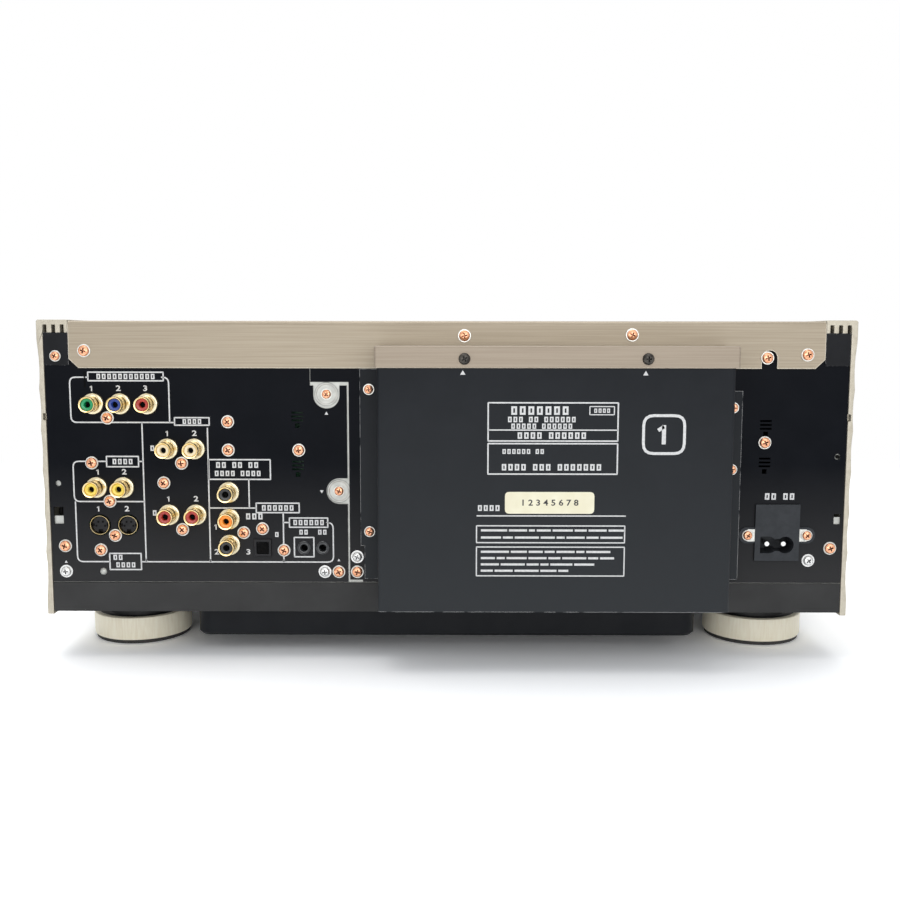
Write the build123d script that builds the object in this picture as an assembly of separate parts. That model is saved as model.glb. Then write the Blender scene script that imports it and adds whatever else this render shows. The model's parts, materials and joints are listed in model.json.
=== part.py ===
# Laserdisc player with two trays: a large tray for 30 cm discs and a small one inside it for 12 cm discs.
# The front faces -Y, the connector side faces +Y, and +Z is up. Sizes are in millimetres.
# The origin is the middle of the footprint, on the surface that the feet stand on.
import math
import os

from build123d import *

os.makedirs("parts", exist_ok=True)

# ---------------------------------------------------------------- driving sizes
WIDTH = 420.0  # over both side panels
HEIGHT = 178.0  # from the surface to the top of the side panels
DEPTH = 466.0  # from the button faces to the screw heads on the rear box
HALF_WIDTH = WIDTH / 2
BUTTON_PROUD = 1.5  # how far the button faces stand out of the front panel
FRONT = -DEPTH / 2 + BUTTON_PROUD  # outer face of the front panel
BOX_DEPTH = 26.0  # how far the rear box stands out of the rear panel
LID_SHEET = 1.2
SCREW_HEAD = 1.8
REAR = DEPTH / 2 - BOX_DEPTH - LID_SHEET - SCREW_HEAD  # outer face of the rear panel
SHEET = 1.0  # panels
CHASSIS_SHEET = 1.5

SIDE_BOTTOM = 24.0  # lower edge of the side panels and of the front panel
CHASSIS_BOTTOM = 25.5
CHASSIS_FLOOR = CHASSIS_BOTTOM + CHASSIS_SHEET
SEAM = 41.4  # height where the rear panel meets the chassis lip
SEAM_GAP = 0.4
SIDE_SKIN = 3.2  # wall of the extruded side panels
INNER_HALF = HALF_WIDTH - SIDE_SKIN - 0.2  # half width of everything between the side panels
TOP_RAIL = 16.0  # width of the inward top rail of a side panel
COVER_HALF = HALF_WIDTH - TOP_RAIL - 0.3
COVER_TOP = HEIGHT - 0.5
FRONT_DEPTH = 22.0  # depth of the hollow front panel
FRONT_WALL = 4.0
BODY_FRONT = FRONT + FRONT_DEPTH  # where chassis, cover and side panels start

SPINDLE_Y = FRONT + 195.0  # turntable axis, on x = 0
FIT = 0.05  # running clearance on a radius
SLIDE = 0.2  # clearance under and beside sliding trays

made = {}


# ---------------------------------------------------------------- plain shapes
def block(x, y, z):
    """A box between two places on each axis, given as (low, high) in any order."""
    spans = [sorted(pair) for pair in (x, y, z)]
    size = [high - low for low, high in spans]
    middle = [(high + low) / 2 for low, high in spans]
    return Pos(*middle) * Box(*size)


def rod_y(x, z, radius, y):
    """A round bar along Y between two places."""
    low, high = sorted(y)
    return Pos(x, (low + high) / 2, z) * Rot(90, 0, 0) * Cylinder(radius, high - low)


def rod_z(x, y, radius, z):
    low, high = sorted(z)
    return Pos(x, y, (low + high) / 2) * Cylinder(radius, high - low)


def rod_x(y, z, radius, x):
    low, high = sorted(x)
    return Pos((low + high) / 2, y, z) * Rot(0, 90, 0) * Cylinder(radius, high - low)


def sheet_y(outline, y):
    """A flat sheet that stands across Y, from (x, z) corners, between two places."""
    low, high = sorted(y)
    face = make_face(Polyline([(x, low, z) for x, z in outline], close=True))
    return extrude(face, high - low, dir=(0, 1, 0))


def sided_corners(radius, sides):
    """Corners of an even-sided outline with its flats at the radius, two of them facing along X."""
    reach = radius / math.cos(math.pi / sides)
    turns = [2 * math.pi * (step + 0.5) / sides for step in range(sides)]
    return [(reach * math.cos(turn), reach * math.sin(turn)) for turn in turns]


def sided_y(x, z, radius, y, sides=12):
    """A many-sided bar along Y, for small or hidden round pieces."""
    return sheet_y([(x + across, z + up) for across, up in sided_corners(radius, sides)], y)


def sided_z(x, y, radius, z, sides=12):
    low, high = sorted(z)
    corners = [(x + across, y + along, low) for across, along in sided_corners(radius, sides)]
    return extrude(make_face(Polyline(corners, close=True)), high - low, dir=(0, 0, 1))


def slot_z(x, y, z):
    """A slot with cropped corners, cut through z."""
    return chamfer(block(x, y, z).edges().filter_by(Axis.Z), abs(x[1] - x[0]) / 4)


def mirrored(shape):
    return mirror(shape, Plane.YZ)


def keep(name, *solids):
    """Collects the solids of one named piece."""
    made[name] = solids[0] if len(solids) == 1 else Compound(children=list(solids))


# ---------------------------------------------------------------- teeth
PRESSURE_ANGLE = math.radians(20)
BACKLASH = 0.3


def involute(angle):
    return math.tan(angle) - angle


def gear(module, teeth, height, backlash=BACKLASH):
    """A spur gear on the origin with a tooth centred on +X, its teeth slimmed by the backlash."""
    pitch = module * teeth / 2
    base = pitch * math.cos(PRESSURE_ANGLE)
    root = pitch - 1.25 * module
    tip = pitch + 0.95 * module
    half_tooth = math.pi / (2 * teeth) - backlash / (2 * pitch)
    flank_radii = [max(base, root), pitch, tip]
    flank = [(root, half_tooth + involute(PRESSURE_ANGLE))]
    for radius in flank_radii:
        turn = math.acos(min(1.0, base / radius))
        flank.append((radius, half_tooth + involute(PRESSURE_ANGLE) - involute(turn)))
    corners = []
    for tooth in range(teeth):
        middle = 2 * math.pi * tooth / teeth
        rising = [(radius, middle - angle) for radius, angle in flank]
        falling = [(radius, middle + angle) for radius, angle in reversed(flank)]
        corners += rising + falling
    points = [(r * math.cos(a), r * math.sin(a)) for r, a in corners]
    return extrude(make_face(Polyline(points, close=True)), height)


def rack(module, teeth, back, height):
    """A rack along +Y from the origin, its pitch line on x = 0 and its teeth towards -X.
    The first gap is centred on y = 0."""
    pitch = math.pi * module
    slope = math.tan(PRESSURE_ANGLE)
    half = pitch / 4 - BACKLASH / 4
    points = []
    for tooth in range(teeth):
        middle = pitch * (tooth + 0.5)
        points += [
            (1.25 * module, middle - half - 1.25 * module * slope),
            (-module, middle - half + module * slope),
            (-module, middle + half - module * slope),
            (1.25 * module, middle + half + 1.25 * module * slope),
        ]
    length = pitch * teeth
    outline = [(back, 0), (1.25 * module, 0)] + points + [(1.25 * module, length), (back, length)]
    return extrude(make_face(Polyline(outline, close=True)), height)


# ---------------------------------------------------------------- bottom chassis and base pan
LIP_PROUD = 0.4
PAN_HALF = 134.0
PAN_BOTTOM = 10.0
PAN_REAR = REAR - 8.0
PAN_CORNER = 8.0
PAN_SHEET = 1.2
PAN_FRONT = FRONT + 95.0
VENT_WIDTH = 4.0
VENT_LENGTH = 44.0


def bottom_chassis():
    """Folded steel: floor, side walls, a front lip, and the rear lip under the seam."""
    floor = block((-INNER_HALF, INNER_HALF), (BODY_FRONT, REAR), (CHASSIS_BOTTOM, CHASSIS_FLOOR))
    wall_top = 168.0
    wall = block(
        (INNER_HALF - CHASSIS_SHEET, INNER_HALF), (BODY_FRONT, REAR - 12), (CHASSIS_FLOOR, wall_top)
    )
    rear_lip = block(
        (-INNER_HALF, INNER_HALF), (REAR - 0.8, REAR + LIP_PROUD), (CHASSIS_BOTTOM, SEAM - SEAM_GAP)
    )
    front_lip = block(
        (-INNER_HALF, INNER_HALF), (BODY_FRONT, BODY_FRONT + CHASSIS_SHEET), (CHASSIS_FLOOR, 60)
    )
    body = floor + wall + mirrored(wall) + rear_lip + front_lip
    for column in range(8):
        left = 146.0 + 6.5 * column
        through = (CHASSIS_BOTTOM - 1, CHASSIS_FLOOR + 1)
        vent = slot_z((left, left + VENT_WIDTH), (-40, -40 + VENT_LENGTH), through)
        body -= vent
        body -= mirrored(vent)
    return body


def base_pan():
    """A shallow pressed pan below the floor, between the feet, with a flange all round."""
    outer = block((-PAN_HALF, PAN_HALF), (PAN_FRONT, PAN_REAR), (PAN_BOTTOM, CHASSIS_BOTTOM))
    outer = fillet(outer.edges().filter_by(Axis.Z), PAN_CORNER)
    outer = chamfer(outer.faces().sort_by(Axis.Z)[0].edges(), 1.6)
    inner = block(
        (-PAN_HALF + PAN_SHEET, PAN_HALF - PAN_SHEET),
        (PAN_FRONT + PAN_SHEET, PAN_REAR - PAN_SHEET),
        (PAN_BOTTOM + PAN_SHEET, CHASSIS_BOTTOM),
    )
    inner = fillet(inner.edges().filter_by(Axis.Z), PAN_CORNER - PAN_SHEET)
    pan = outer - inner
    for column in range(7):
        x = -90.0 + 30.0 * column
        pan -= slot_z((x - 3, x + 3), (20, 110), (PAN_BOTTOM - 1, PAN_BOTTOM + 2))
    return pan


keep("bottom_chassis", bottom_chassis())
keep("base_pan", base_pan())

# ---------------------------------------------------------------- feet
FOOT_RADIUS = 27.0
FOOT_X = 175.3
FOOT_REAR_Y = REAR - 51.0
FOOT_FRONT_Y = FRONT + 62.0
FOOT_TOP = 15.0
FOOT_WALL = 3.2
FOOT_SIDES = 24
PAD_HEIGHT = 2.0
CUP_FLOOR = PAD_HEIGHT + 3.0
foot_places = [(side * FOOT_X, y) for side in (-1, 1) for y in (FOOT_FRONT_Y, FOOT_REAR_Y)]


def foot_ring(x, y):
    """A turned aluminium cup."""
    cup = rod_z(x, y, FOOT_RADIUS, (PAD_HEIGHT, FOOT_TOP))
    return cup - sided_z(x, y, FOOT_RADIUS - FOOT_WALL, (CUP_FLOOR, FOOT_TOP + 1), FOOT_SIDES)


def foot_core(x, y):
    """The black moulding that fills the cup and spaces it off the chassis."""
    filling = sided_z(x, y, FOOT_RADIUS - FOOT_WALL - FIT, (CUP_FLOOR, FOOT_TOP - 1.5), FOOT_SIDES)
    return filling + sided_z(x, y, 19, (FOOT_TOP - 1.5, CHASSIS_BOTTOM))


keep("foot_rings", *[foot_ring(x, y) for x, y in foot_places])
keep("foot_cores", *[foot_core(x, y) for x, y in foot_places])
keep("foot_pads", *[sided_z(x, y, FOOT_RADIUS - 1.0, (0, PAD_HEIGHT), FOOT_SIDES) for x, y in foot_places])

# ---------------------------------------------------------------- side panels
FLUTE_COUNT = 6
FLUTE_LOW = 36.0
FLUTE_HIGH = 164.0
FLUTE_RIDGE = 0.3  # how far a ridge lies inside the full width
FLUTE_VALLEY = 0.9
RAIL_LOW = 171.4
RAIL_SLOTS = (205.6, 201.2, 196.8)
RAIL_SLOT_WIDTH = 1.9
RAIL_SLOT_TOP = 175.5
SIDE_REAR = REAR + 0.6
BRACKET_LOW = 154.7
CATCH_LOW = 126.4  # the notch at the rear edge of each side panel
CATCH_HIGH = 130.0


def side_panel():
    """An aluminium extrusion: a fluted skin and an inward top rail with three open grooves below."""
    edges = []
    pitch = (FLUTE_HIGH - FLUTE_LOW) / FLUTE_COUNT
    ridge = HALF_WIDTH - FLUTE_RIDGE
    valley = HALF_WIDTH - FLUTE_VALLEY
    for flute in range(FLUTE_COUNT):
        low = FLUTE_LOW + pitch * flute
        edges.append(ThreePointArc((ridge, 0, low), (valley, 0, low + pitch / 2), (ridge, 0, low + pitch)))
    rail_edge = HALF_WIDTH - TOP_RAIL
    outline = [(ridge, FLUTE_HIGH), (HALF_WIDTH, FLUTE_HIGH + 3), (HALF_WIDTH, HEIGHT - 0.8)]
    outline += [(HALF_WIDTH - 0.8, HEIGHT), (rail_edge, HEIGHT), (rail_edge, RAIL_LOW)]
    for middle in reversed(RAIL_SLOTS):
        low, high = middle - RAIL_SLOT_WIDTH / 2, middle + RAIL_SLOT_WIDTH / 2
        outline += [(low, RAIL_LOW), (low, RAIL_SLOT_TOP), (high, RAIL_SLOT_TOP), (high, RAIL_LOW)]
    inside = HALF_WIDTH - SIDE_SKIN
    outline += [(inside, RAIL_LOW), (inside, SIDE_BOTTOM), (HALF_WIDTH, SIDE_BOTTOM)]
    outline += [(HALF_WIDTH, FLUTE_LOW - 3), (ridge, FLUTE_LOW)]
    edges.append(Polyline([(x, 0, z) for x, z in outline]))
    face = make_face(Curve() + edges)
    panel = Pos(0, BODY_FRONT, 0) * extrude(face, SIDE_REAR - BODY_FRONT, dir=(0, 1, 0))
    catch = block((inside - 1, inside + 1.4), (SIDE_REAR - 3, SIDE_REAR + 1), (CATCH_LOW, CATCH_HIGH))
    return panel - catch


left_side = side_panel()
keep("side_panel_left", left_side)
keep("side_panel_right", mirrored(left_side))


def corner_bracket():
    """A small black angle that closes the rail's end and ties side panel and chassis together."""
    rail = HALF_WIDTH - TOP_RAIL
    face = block((rail, INNER_HALF), (REAR, REAR + 0.6), (BRACKET_LOW, RAIL_LOW))
    leg = block((rail, rail + 1.2), (REAR - 14, REAR), (BRACKET_LOW + 3, RAIL_LOW))
    return face + leg


keep("corner_brackets", corner_bracket(), mirrored(corner_bracket()))

# ---------------------------------------------------------------- top cover
BAND_BOTTOM = 153.4
NOTCH_X = -165.3
NOTCH_HALF = 4.0
NOTCH_TOP = 162.8
COVER_SHEET = 1.2
BEND = 2.4


def top_cover():
    """A painted steel plate, folded down at the sides and, at the rear, into the band."""
    plate = block((-COVER_HALF, COVER_HALF), (BODY_FRONT, REAR + SHEET), (BAND_BOTTOM, COVER_TOP))
    plate = fillet(plate.edges().filter_by(Axis.X).sort_by(Axis.Z)[-2:].sort_by(Axis.Y)[-1], BEND)
    hollow = block(
        (-COVER_HALF + COVER_SHEET, COVER_HALF - COVER_SHEET),
        (BODY_FRONT - 1, REAR),
        (BAND_BOTTOM - 1, COVER_TOP - COVER_SHEET),
    )
    hollow = fillet(hollow.edges().filter_by(Axis.X).sort_by(Axis.Z)[-2:].sort_by(Axis.Y)[-1], BEND - SHEET)
    cover = plate - hollow
    cover -= block((-COVER_HALF - 1, COVER_HALF + 1), (BODY_FRONT - 1, REAR), (BAND_BOTTOM - 1, 169.0))
    corner = sheet_y(
        [(COVER_HALF + 1, BAND_BOTTOM - 1), (COVER_HALF + 1, 159), (COVER_HALF - 5.9, BAND_BOTTOM - 1)],
        (REAR - 3, REAR + 3),
    )
    cover -= corner
    cover -= mirrored(corner)
    notch_middle = NOTCH_TOP - NOTCH_HALF
    cover -= block(
        (NOTCH_X - NOTCH_HALF, NOTCH_X + NOTCH_HALF), (REAR - 1, REAR + 2), (BAND_BOTTOM - 1, notch_middle)
    )
    cover -= rod_y(NOTCH_X, notch_middle, NOTCH_HALF, (REAR - 1, REAR + 2))
    for row in range(12):
        y = REAR - 34 - 8.0 * row
        cover -= block((-150, -62), (y - 1.5, y + 1.5), (COVER_TOP - 3, COVER_TOP + 1))
    return cover


keep("top_cover", top_cover())

# ---------------------------------------------------------------- rear panels
BOX_LEFT = 34.0
BOX_RIGHT = -141.7
BOX_BOTTOM = 32.4
BOX_TOP = 163.8
GAP_X = 50.9  # middle of the gap between the connector panel and the main rear panel
GAP_HALF = 0.5
STEP_X = 70.4
STEP_Z = 144.5
PANEL_TOP = 168.8
NOTCH_RADIUS = 6.8
PANEL_BACK = REAR - SHEET
FRAME_BACK = PANEL_BACK - 1.2

JACK_RADIUS = 4.15
JACK_FLANGE = 5.5
JACK_HOLE = 5.0
JACK_TIP = REAR + 10.5
JACK_BORE = JACK_RADIUS - 0.7
FLANGE_SHEET = 1.6
HOLE_SIDES = 8
component_jacks = [(182.2, 135.0), (168.2, 135.0), (154.2, 135.0)]
video_jacks = [(181.8, 91.5), (167.8, 91.5)]
white_jacks = [(144.4, 111.7), (130.4, 111.7)]
red_jacks = [(144.4, 77.2), (130.4, 77.2)]
rf_jack = (113.1, 89.0)
coax_jacks = [(113.1, 75.0), (113.1, 61.3)]
SVIDEO_PLACES = [(181.0, 71.5), (166.2, 71.5)]
SVIDEO_RADIUS = 5.1
SVIDEO_HOLE = 5.6
OPTICAL_PLACE = (96.0, 59.6)
OPTICAL_HALF = 4.7
CONTROL_PLACES = [(74.4, 59.6), (64.6, 59.6)]
CONTROL_RADIUS = 3.6
INLET_LEFT = -160.7
INLET_RIGHT = -184.0
INLET_LOW = 53.3
INLET_HIGH = 83.2
all_jacks = component_jacks + video_jacks + white_jacks + red_jacks + [rf_jack] + coax_jacks
# across and up: the sockets that share a moulded block on the board and a window in the frame
socket_groups = [
    ((147, 189), (128.5, 141.5)),
    ((161, 188.5), (85, 98)),
    ((160, 187), (65, 78)),
    ((124, 151), (70.5, 118)),
    ((107, 120), (55, 96)),
]
frame_windows = socket_groups + [((90, 102), (54, 65)), ((58.5, 80.5), (54, 65))]
JACK_BACK = REAR - 11.0
LOUVRE_ROWS = 3
LOUVRE_PITCH = 2.0
LOUVRE_SLOT = 1.0
LOUVRE_HALF = 3.0
LOUVRE_SQUARE = 2.4
connector_louvres = [(77.0, 131.0), (77.0, 105.5)]
panel_louvres = [(-164.8, 127.0), (-164.8, 107.5)]
BOARD_FACE = REAR - 13.5


def punch(plate, y):
    """Cuts the connector openings, the two notches and the small holes through the connector panel."""
    cut = (y[0] - 1, y[1] + 1)
    for x, z in all_jacks:
        plate -= sided_y(x, z, JACK_HOLE, cut, HOLE_SIDES)
    for x, z in SVIDEO_PLACES:
        plate -= sided_y(x, z, SVIDEO_HOLE, cut)
    for x, z in CONTROL_PLACES:
        plate -= sided_y(x, z, CONTROL_RADIUS, cut)
    ox, oz = OPTICAL_PLACE
    plate -= block((ox - OPTICAL_HALF, ox + OPTICAL_HALF), cut, (oz - OPTICAL_HALF, oz + OPTICAL_HALF))
    top_x, top_z = 61.9, 139.4
    plate -= rod_y(top_x, top_z, NOTCH_RADIUS, cut)
    plate -= block((top_x - NOTCH_RADIUS, top_x + NOTCH_RADIUS), cut, (top_z, STEP_Z + 1))
    side_x, side_z = 55.6, 89.5
    plate -= rod_y(side_x, side_z, NOTCH_RADIUS, cut)
    plate -= block((side_x, GAP_X - 1), cut, (side_z - NOTCH_RADIUS, side_z + NOTCH_RADIUS))
    plate -= block((199.9, 205.0), cut, (72.0, 81.0))
    return plate - sided_y(202.1, 93.4, 1.5, cut, HOLE_SIDES)


def louvres(plate, groups, y):
    """Cuts each group's three short vents, and the small square one below them, through a plate."""
    cut = (y[0] - 1, y[1] + 1)
    for middle, top in groups:
        for row in range(LOUVRE_ROWS):
            high = top - LOUVRE_PITCH * row
            plate -= block((middle - LOUVRE_HALF, middle + LOUVRE_HALF), cut, (high - LOUVRE_SLOT, high))
        high = top - LOUVRE_PITCH * LOUVRE_ROWS
        half = LOUVRE_SQUARE / 2
        plate -= block((middle - half, middle + half), cut, (high - LOUVRE_SQUARE, high))
    return plate


def connector_panel():
    """The black steel sheet that carries the sound and picture connectors."""
    outline = [
        (INNER_HALF, SEAM),
        (INNER_HALF, BRACKET_LOW),
        (HALF_WIDTH - TOP_RAIL, BRACKET_LOW),
        (HALF_WIDTH - TOP_RAIL, PANEL_TOP),
        (STEP_X, PANEL_TOP),
        (STEP_X, STEP_Z),
        (GAP_X + GAP_HALF, STEP_Z),
        (GAP_X + GAP_HALF, SEAM),
    ]
    span = (PANEL_BACK, REAR)
    return louvres(punch(sheet_y(outline, span), span), connector_louvres, span)


def main_panel():
    """The rest of the black rear wall, round the rear box and the mains inlet."""
    gap_edge = GAP_X - GAP_HALF
    outline = [
        (gap_edge, SEAM + 1.2),
        (gap_edge, STEP_Z + 1.8),
        (STEP_X - 0.4, STEP_Z + 1.8),
        (STEP_X - 0.4, PANEL_TOP),
        (-HALF_WIDTH + TOP_RAIL, PANEL_TOP),
        (-HALF_WIDTH + TOP_RAIL, BRACKET_LOW),
        (-INNER_HALF, BRACKET_LOW),
        (-INNER_HALF, SEAM),
        (43.7, SEAM),
        (43.7, SEAM + 1.2),
    ]
    span = (PANEL_BACK, REAR)
    panel = sheet_y(outline, span)
    cut = (PANEL_BACK - 1, REAR + 1)
    panel -= block((BOX_RIGHT + 4, BOX_LEFT - 4), cut, (SEAM + 6, 152))
    panel -= block((INLET_LEFT, INLET_RIGHT), cut, (INLET_LOW, INLET_HIGH))
    panel -= sided_y(-202.4, 108.0, 1.5, cut, HOLE_SIDES)
    panel -= block((-201.8, -205.4), cut, (72.5, 78.0))
    return louvres(panel, panel_louvres, span)


def rear_frame():
    """The zinc-plated steel frame behind both black sheets; it shows through their gap and notches."""
    span = (FRAME_BACK, PANEL_BACK)
    cut = (FRAME_BACK - 1, REAR)
    frame = block((-INNER_HALF, INNER_HALF), span, (CHASSIS_FLOOR, BRACKET_LOW))
    frame += block((-HALF_WIDTH + TOP_RAIL, HALF_WIDTH - TOP_RAIL), span, (BRACKET_LOW, PANEL_TOP))
    for x, z in frame_windows:
        frame -= block(x, cut, z)
    frame -= block((BOX_RIGHT + 4, BOX_LEFT - 4), cut, (SEAM + 6, 152))
    frame -= block((INLET_LEFT, INLET_RIGHT), cut, (INLET_LOW, INLET_HIGH))
    for side in (-1, 1):
        frame -= block((side * 199.0, side * 205.4), cut, (76.2, 81.0))
    for middle, top in connector_louvres + panel_louvres:
        frame -= block((middle - LOUVRE_HALF - 1, middle + LOUVRE_HALF + 1), cut, (top - 9, top + 1))
    return frame


def rear_box():
    """A folded cover, open towards the inside and at the top, with a screw flange on each side."""
    face_y = REAR + BOX_DEPTH
    outer = block((BOX_RIGHT, BOX_LEFT), (REAR, face_y), (BOX_BOTTOM, BOX_TOP))
    outer = fillet(outer.edges().filter_by(Axis.Z).sort_by(Axis.Y)[-2:], 1.6)
    inner = block(
        (BOX_RIGHT + 1.2, BOX_LEFT - 1.2), (REAR - 1, face_y - 1.2), (BOX_BOTTOM + 1.2, BOX_TOP + 1)
    )
    left_flange = block((BOX_LEFT, BOX_LEFT + 10.6), (REAR, REAR + 1.2), (61.0, BAND_BOTTOM - 0.3))
    left_flange += block((BOX_LEFT, BOX_LEFT + 8.6), (REAR, REAR + 1.2), (SEAM + 2, 61.0))
    right_flange = block((BOX_RIGHT, BOX_RIGHT - 10.5), (REAR, REAR + 1.2), (SEAM + 2, 142.0))
    box = outer - inner + left_flange + right_flange
    across = (BOX_RIGHT - 1, BOX_LEFT + 1)
    box -= block(across, (REAR - 1, REAR + LIP_PROUD), (BOX_BOTTOM - 1, SEAM))
    return box - block(across, (REAR - 1, REAR + SHEET), (BAND_BOTTOM, BOX_TOP + 1))


def box_lid():
    """The gold lid of the rear box: a plate from the band outwards, its lip over the box on three sides."""
    left, right = BOX_LEFT + 1.2, BOX_RIGHT - 1.8
    lip_low = 154.3
    face_y = REAR + BOX_DEPTH + LID_SHEET
    outer = block((right, left), (REAR + SHEET, face_y), (lip_low, BOX_TOP + LID_SHEET))
    outer = fillet(outer.edges().filter_by(Axis.Z).sort_by(Axis.Y)[-2:], 1.4)
    outer = fillet(outer.edges().filter_by(Axis.X).sort_by(Axis.Z)[-2:].sort_by(Axis.Y)[-1], 1.0)
    inner = block((BOX_RIGHT, BOX_LEFT), (REAR, REAR + BOX_DEPTH), (lip_low - 1, BOX_TOP))
    return outer - inner


keep("connector_panel", connector_panel())
keep("rear_panel", main_panel())
keep("rear_frame", rear_frame())
keep("rear_box", rear_box())
keep("box_lid", box_lid())


# ---------------------------------------------------------------- phono jacks
def jack_shell(x, z):
    """A gold-plated shell: the body through the panel, its flange, and the round barrel."""
    shell = sided_y(x, z, JACK_HOLE - 0.1, (JACK_BACK, REAR), HOLE_SIDES)
    shell += sided_y(x, z, JACK_FLANGE, (REAR, REAR + FLANGE_SHEET))
    shell += rod_y(x, z, JACK_RADIUS, (REAR + FLANGE_SHEET, JACK_TIP))
    return shell - sided_y(x, z, JACK_BORE, (REAR + 1.0, JACK_TIP + 1), HOLE_SIDES)


def jack_insert(x, z):
    """The coloured insulator inside a shell, with the hole for the plug's centre pin."""
    insert = sided_y(x, z, JACK_BORE - FIT, (REAR + 1.0, JACK_TIP - 0.8), HOLE_SIDES)
    return insert - sided_y(x, z, 1.6, (REAR + 2.5, JACK_TIP), 6)


keep("jack_shells", *[jack_shell(x, z) for x, z in all_jacks])
keep("jack_inserts", *[jack_insert(x, z) for x, z in all_jacks])


# ---------------------------------------------------------------- other connectors
def svideo_shell(x, z):
    shell = sided_y(x, z, SVIDEO_RADIUS, (JACK_BACK, REAR + 0.6))
    return shell - sided_y(x, z, SVIDEO_RADIUS - 0.4, (JACK_BACK - 1, REAR + 1))


def svideo_insert(x, z):
    """The black core of the socket: a face with a key slot, set back in the shell."""
    core = sided_y(x, z, 4.2, (JACK_BACK, REAR - 1.0))
    core += sided_y(x, z, SVIDEO_RADIUS - 0.4 - FIT, (JACK_BACK, REAR - 7))
    return core - block((x - 1.2, x + 1.2), (REAR - 4, REAR), (z - 4.5, z - 2.6))


def optical_socket():
    """A square optical port: frame, tapered mouth and its hinged dust flap as one moulding."""
    x, z = OPTICAL_PLACE
    half = OPTICAL_HALF - 0.1
    body = block((x - half, x + half), (BOARD_FACE, REAR + 0.8), (z - half, z + half))
    return body - block((x - 3.2, x + 3.2), (REAR - 1.0, REAR + 1), (z - 3.2, z + 3.2))


def control_jack(x, z):
    """A 3.5 mm socket: a black barrel with its bore, on a square moulding behind the panel."""
    barrel = sided_y(x, z, CONTROL_RADIUS - 0.1, (REAR - 2.2, REAR + 0.5))
    moulding = block((x - 4.4, x + 4.4), (BOARD_FACE, REAR - 2.2), (z - 5, z + 5))
    return barrel + moulding - sided_y(x, z, 1.8, (REAR - 11.5, REAR + 1), HOLE_SIDES)


INLET_Z = 61.8
PIN_PITCH = 8.6
SOCKET_HALF = 4.4
SOCKET_DEPTH = 13.0
INLET_FACE = REAR + 1.2
EAR_Z = 66.8
EAR_RADIUS = 4.2
EAR_SHEET = 0.8
inlet_middle = (INLET_LEFT + INLET_RIGHT) / 2
pin_places = [inlet_middle + PIN_PITCH / 2, inlet_middle - PIN_PITCH / 2]


def mains_inlet():
    """A two-pole inlet: square on one side, round on the other, with a waist, and a screw ear each side."""
    body = block(
        (INLET_RIGHT + 0.1, INLET_LEFT - 0.1), (REAR - 18, INLET_FACE), (INLET_LOW + 0.1, INLET_HIGH - 0.1)
    )
    depth = (INLET_FACE - SOCKET_DEPTH, INLET_FACE + 1)
    square_x, round_x = pin_places
    body -= block((square_x + SOCKET_HALF, square_x), depth, (INLET_Z - SOCKET_HALF, INLET_Z + SOCKET_HALF))
    body -= rod_y(square_x, INLET_Z, SOCKET_HALF, depth)
    body -= rod_y(round_x, INLET_Z, SOCKET_HALF, depth)
    body -= block((square_x, round_x), depth, (INLET_Z - 3.2, INLET_Z + 3.2))
    for edge_x, outward in ((INLET_LEFT, 1), (INLET_RIGHT, -1)):
        end = edge_x + outward * 3.9
        on_panel = (REAR, REAR + EAR_SHEET)
        body += block((edge_x - outward, end), on_panel, (EAR_Z - EAR_RADIUS, EAR_Z + EAR_RADIUS))
        body += sided_y(end, EAR_Z, EAR_RADIUS, on_panel)
    return body


keep("svideo_shells", *[svideo_shell(x, z) for x, z in SVIDEO_PLACES])
keep("svideo_cores", *[svideo_insert(x, z) for x, z in SVIDEO_PLACES])
keep("optical_socket", optical_socket())
keep("control_jacks", *[control_jack(x, z) for x, z in CONTROL_PLACES])
keep("mains_inlet", mains_inlet())
pin_reach = (INLET_FACE - SOCKET_DEPTH, INLET_FACE - 3)
keep("inlet_pins", *[sided_y(x, INLET_Z, 1.2, pin_reach) for x in pin_places])

# ---------------------------------------------------------------- rear screws
SCREW_RADIUS = 3.4
SMALL_SCREW_RADIUS = 2.9
SCREW_SIDES = 8
connector_screws = [
    (175.2, 127.6),
    (184.1, 104.2),
    (175.3, 84.1),
    (173.1, 66.0),
    (180.9, 58.3),
    (199.5, 60.4),
    (137.4, 104.1),
    (146.9, 93.8),
    (137.8, 69.2),
    (113.0, 125.7),
    (113.0, 111.0),
    (76.4, 111.0),
    (105.8, 67.6),
    (96.0, 69.7),
    (84.9, 58.3),
    (56.3, 46.9),
]
panel_screws = [(46.6, 46.9), (-164.5, 115.3), (-200.3, 59.9)]
flange_screws = [(39.9, 142.6), (39.9, 68.5), (-147.5, 133.4), (-147.5, 101.4)]
band_screws = [(185.7, 162.2), (-9.2, 170.0), (-94.8, 170.5), (-184.6, 160.5)]
ear_screws = [(-157.0, EAR_Z), (-187.8, EAR_Z)]
notch_screws = [(61.9, 140.0), (55.9, 89.5)]
bracket_screw = (200.7, 159.5)
plated_screws = [(199.5, 46.9), (63.6, 46.9), (46.6, 54.9), (-189.2, 53.4)]
lid_screws = [(-9.0, 158.8), (-98.4, 158.8)]
RIVET_PLACE = (180.0, 46.8)


def screw(x, z, seat, radius=SCREW_RADIUS):
    """The head of a screw or washer screw, lying on its seat."""
    return sided_y(x, z, radius, (seat, seat + SCREW_HEAD), SCREW_SIDES)


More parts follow.
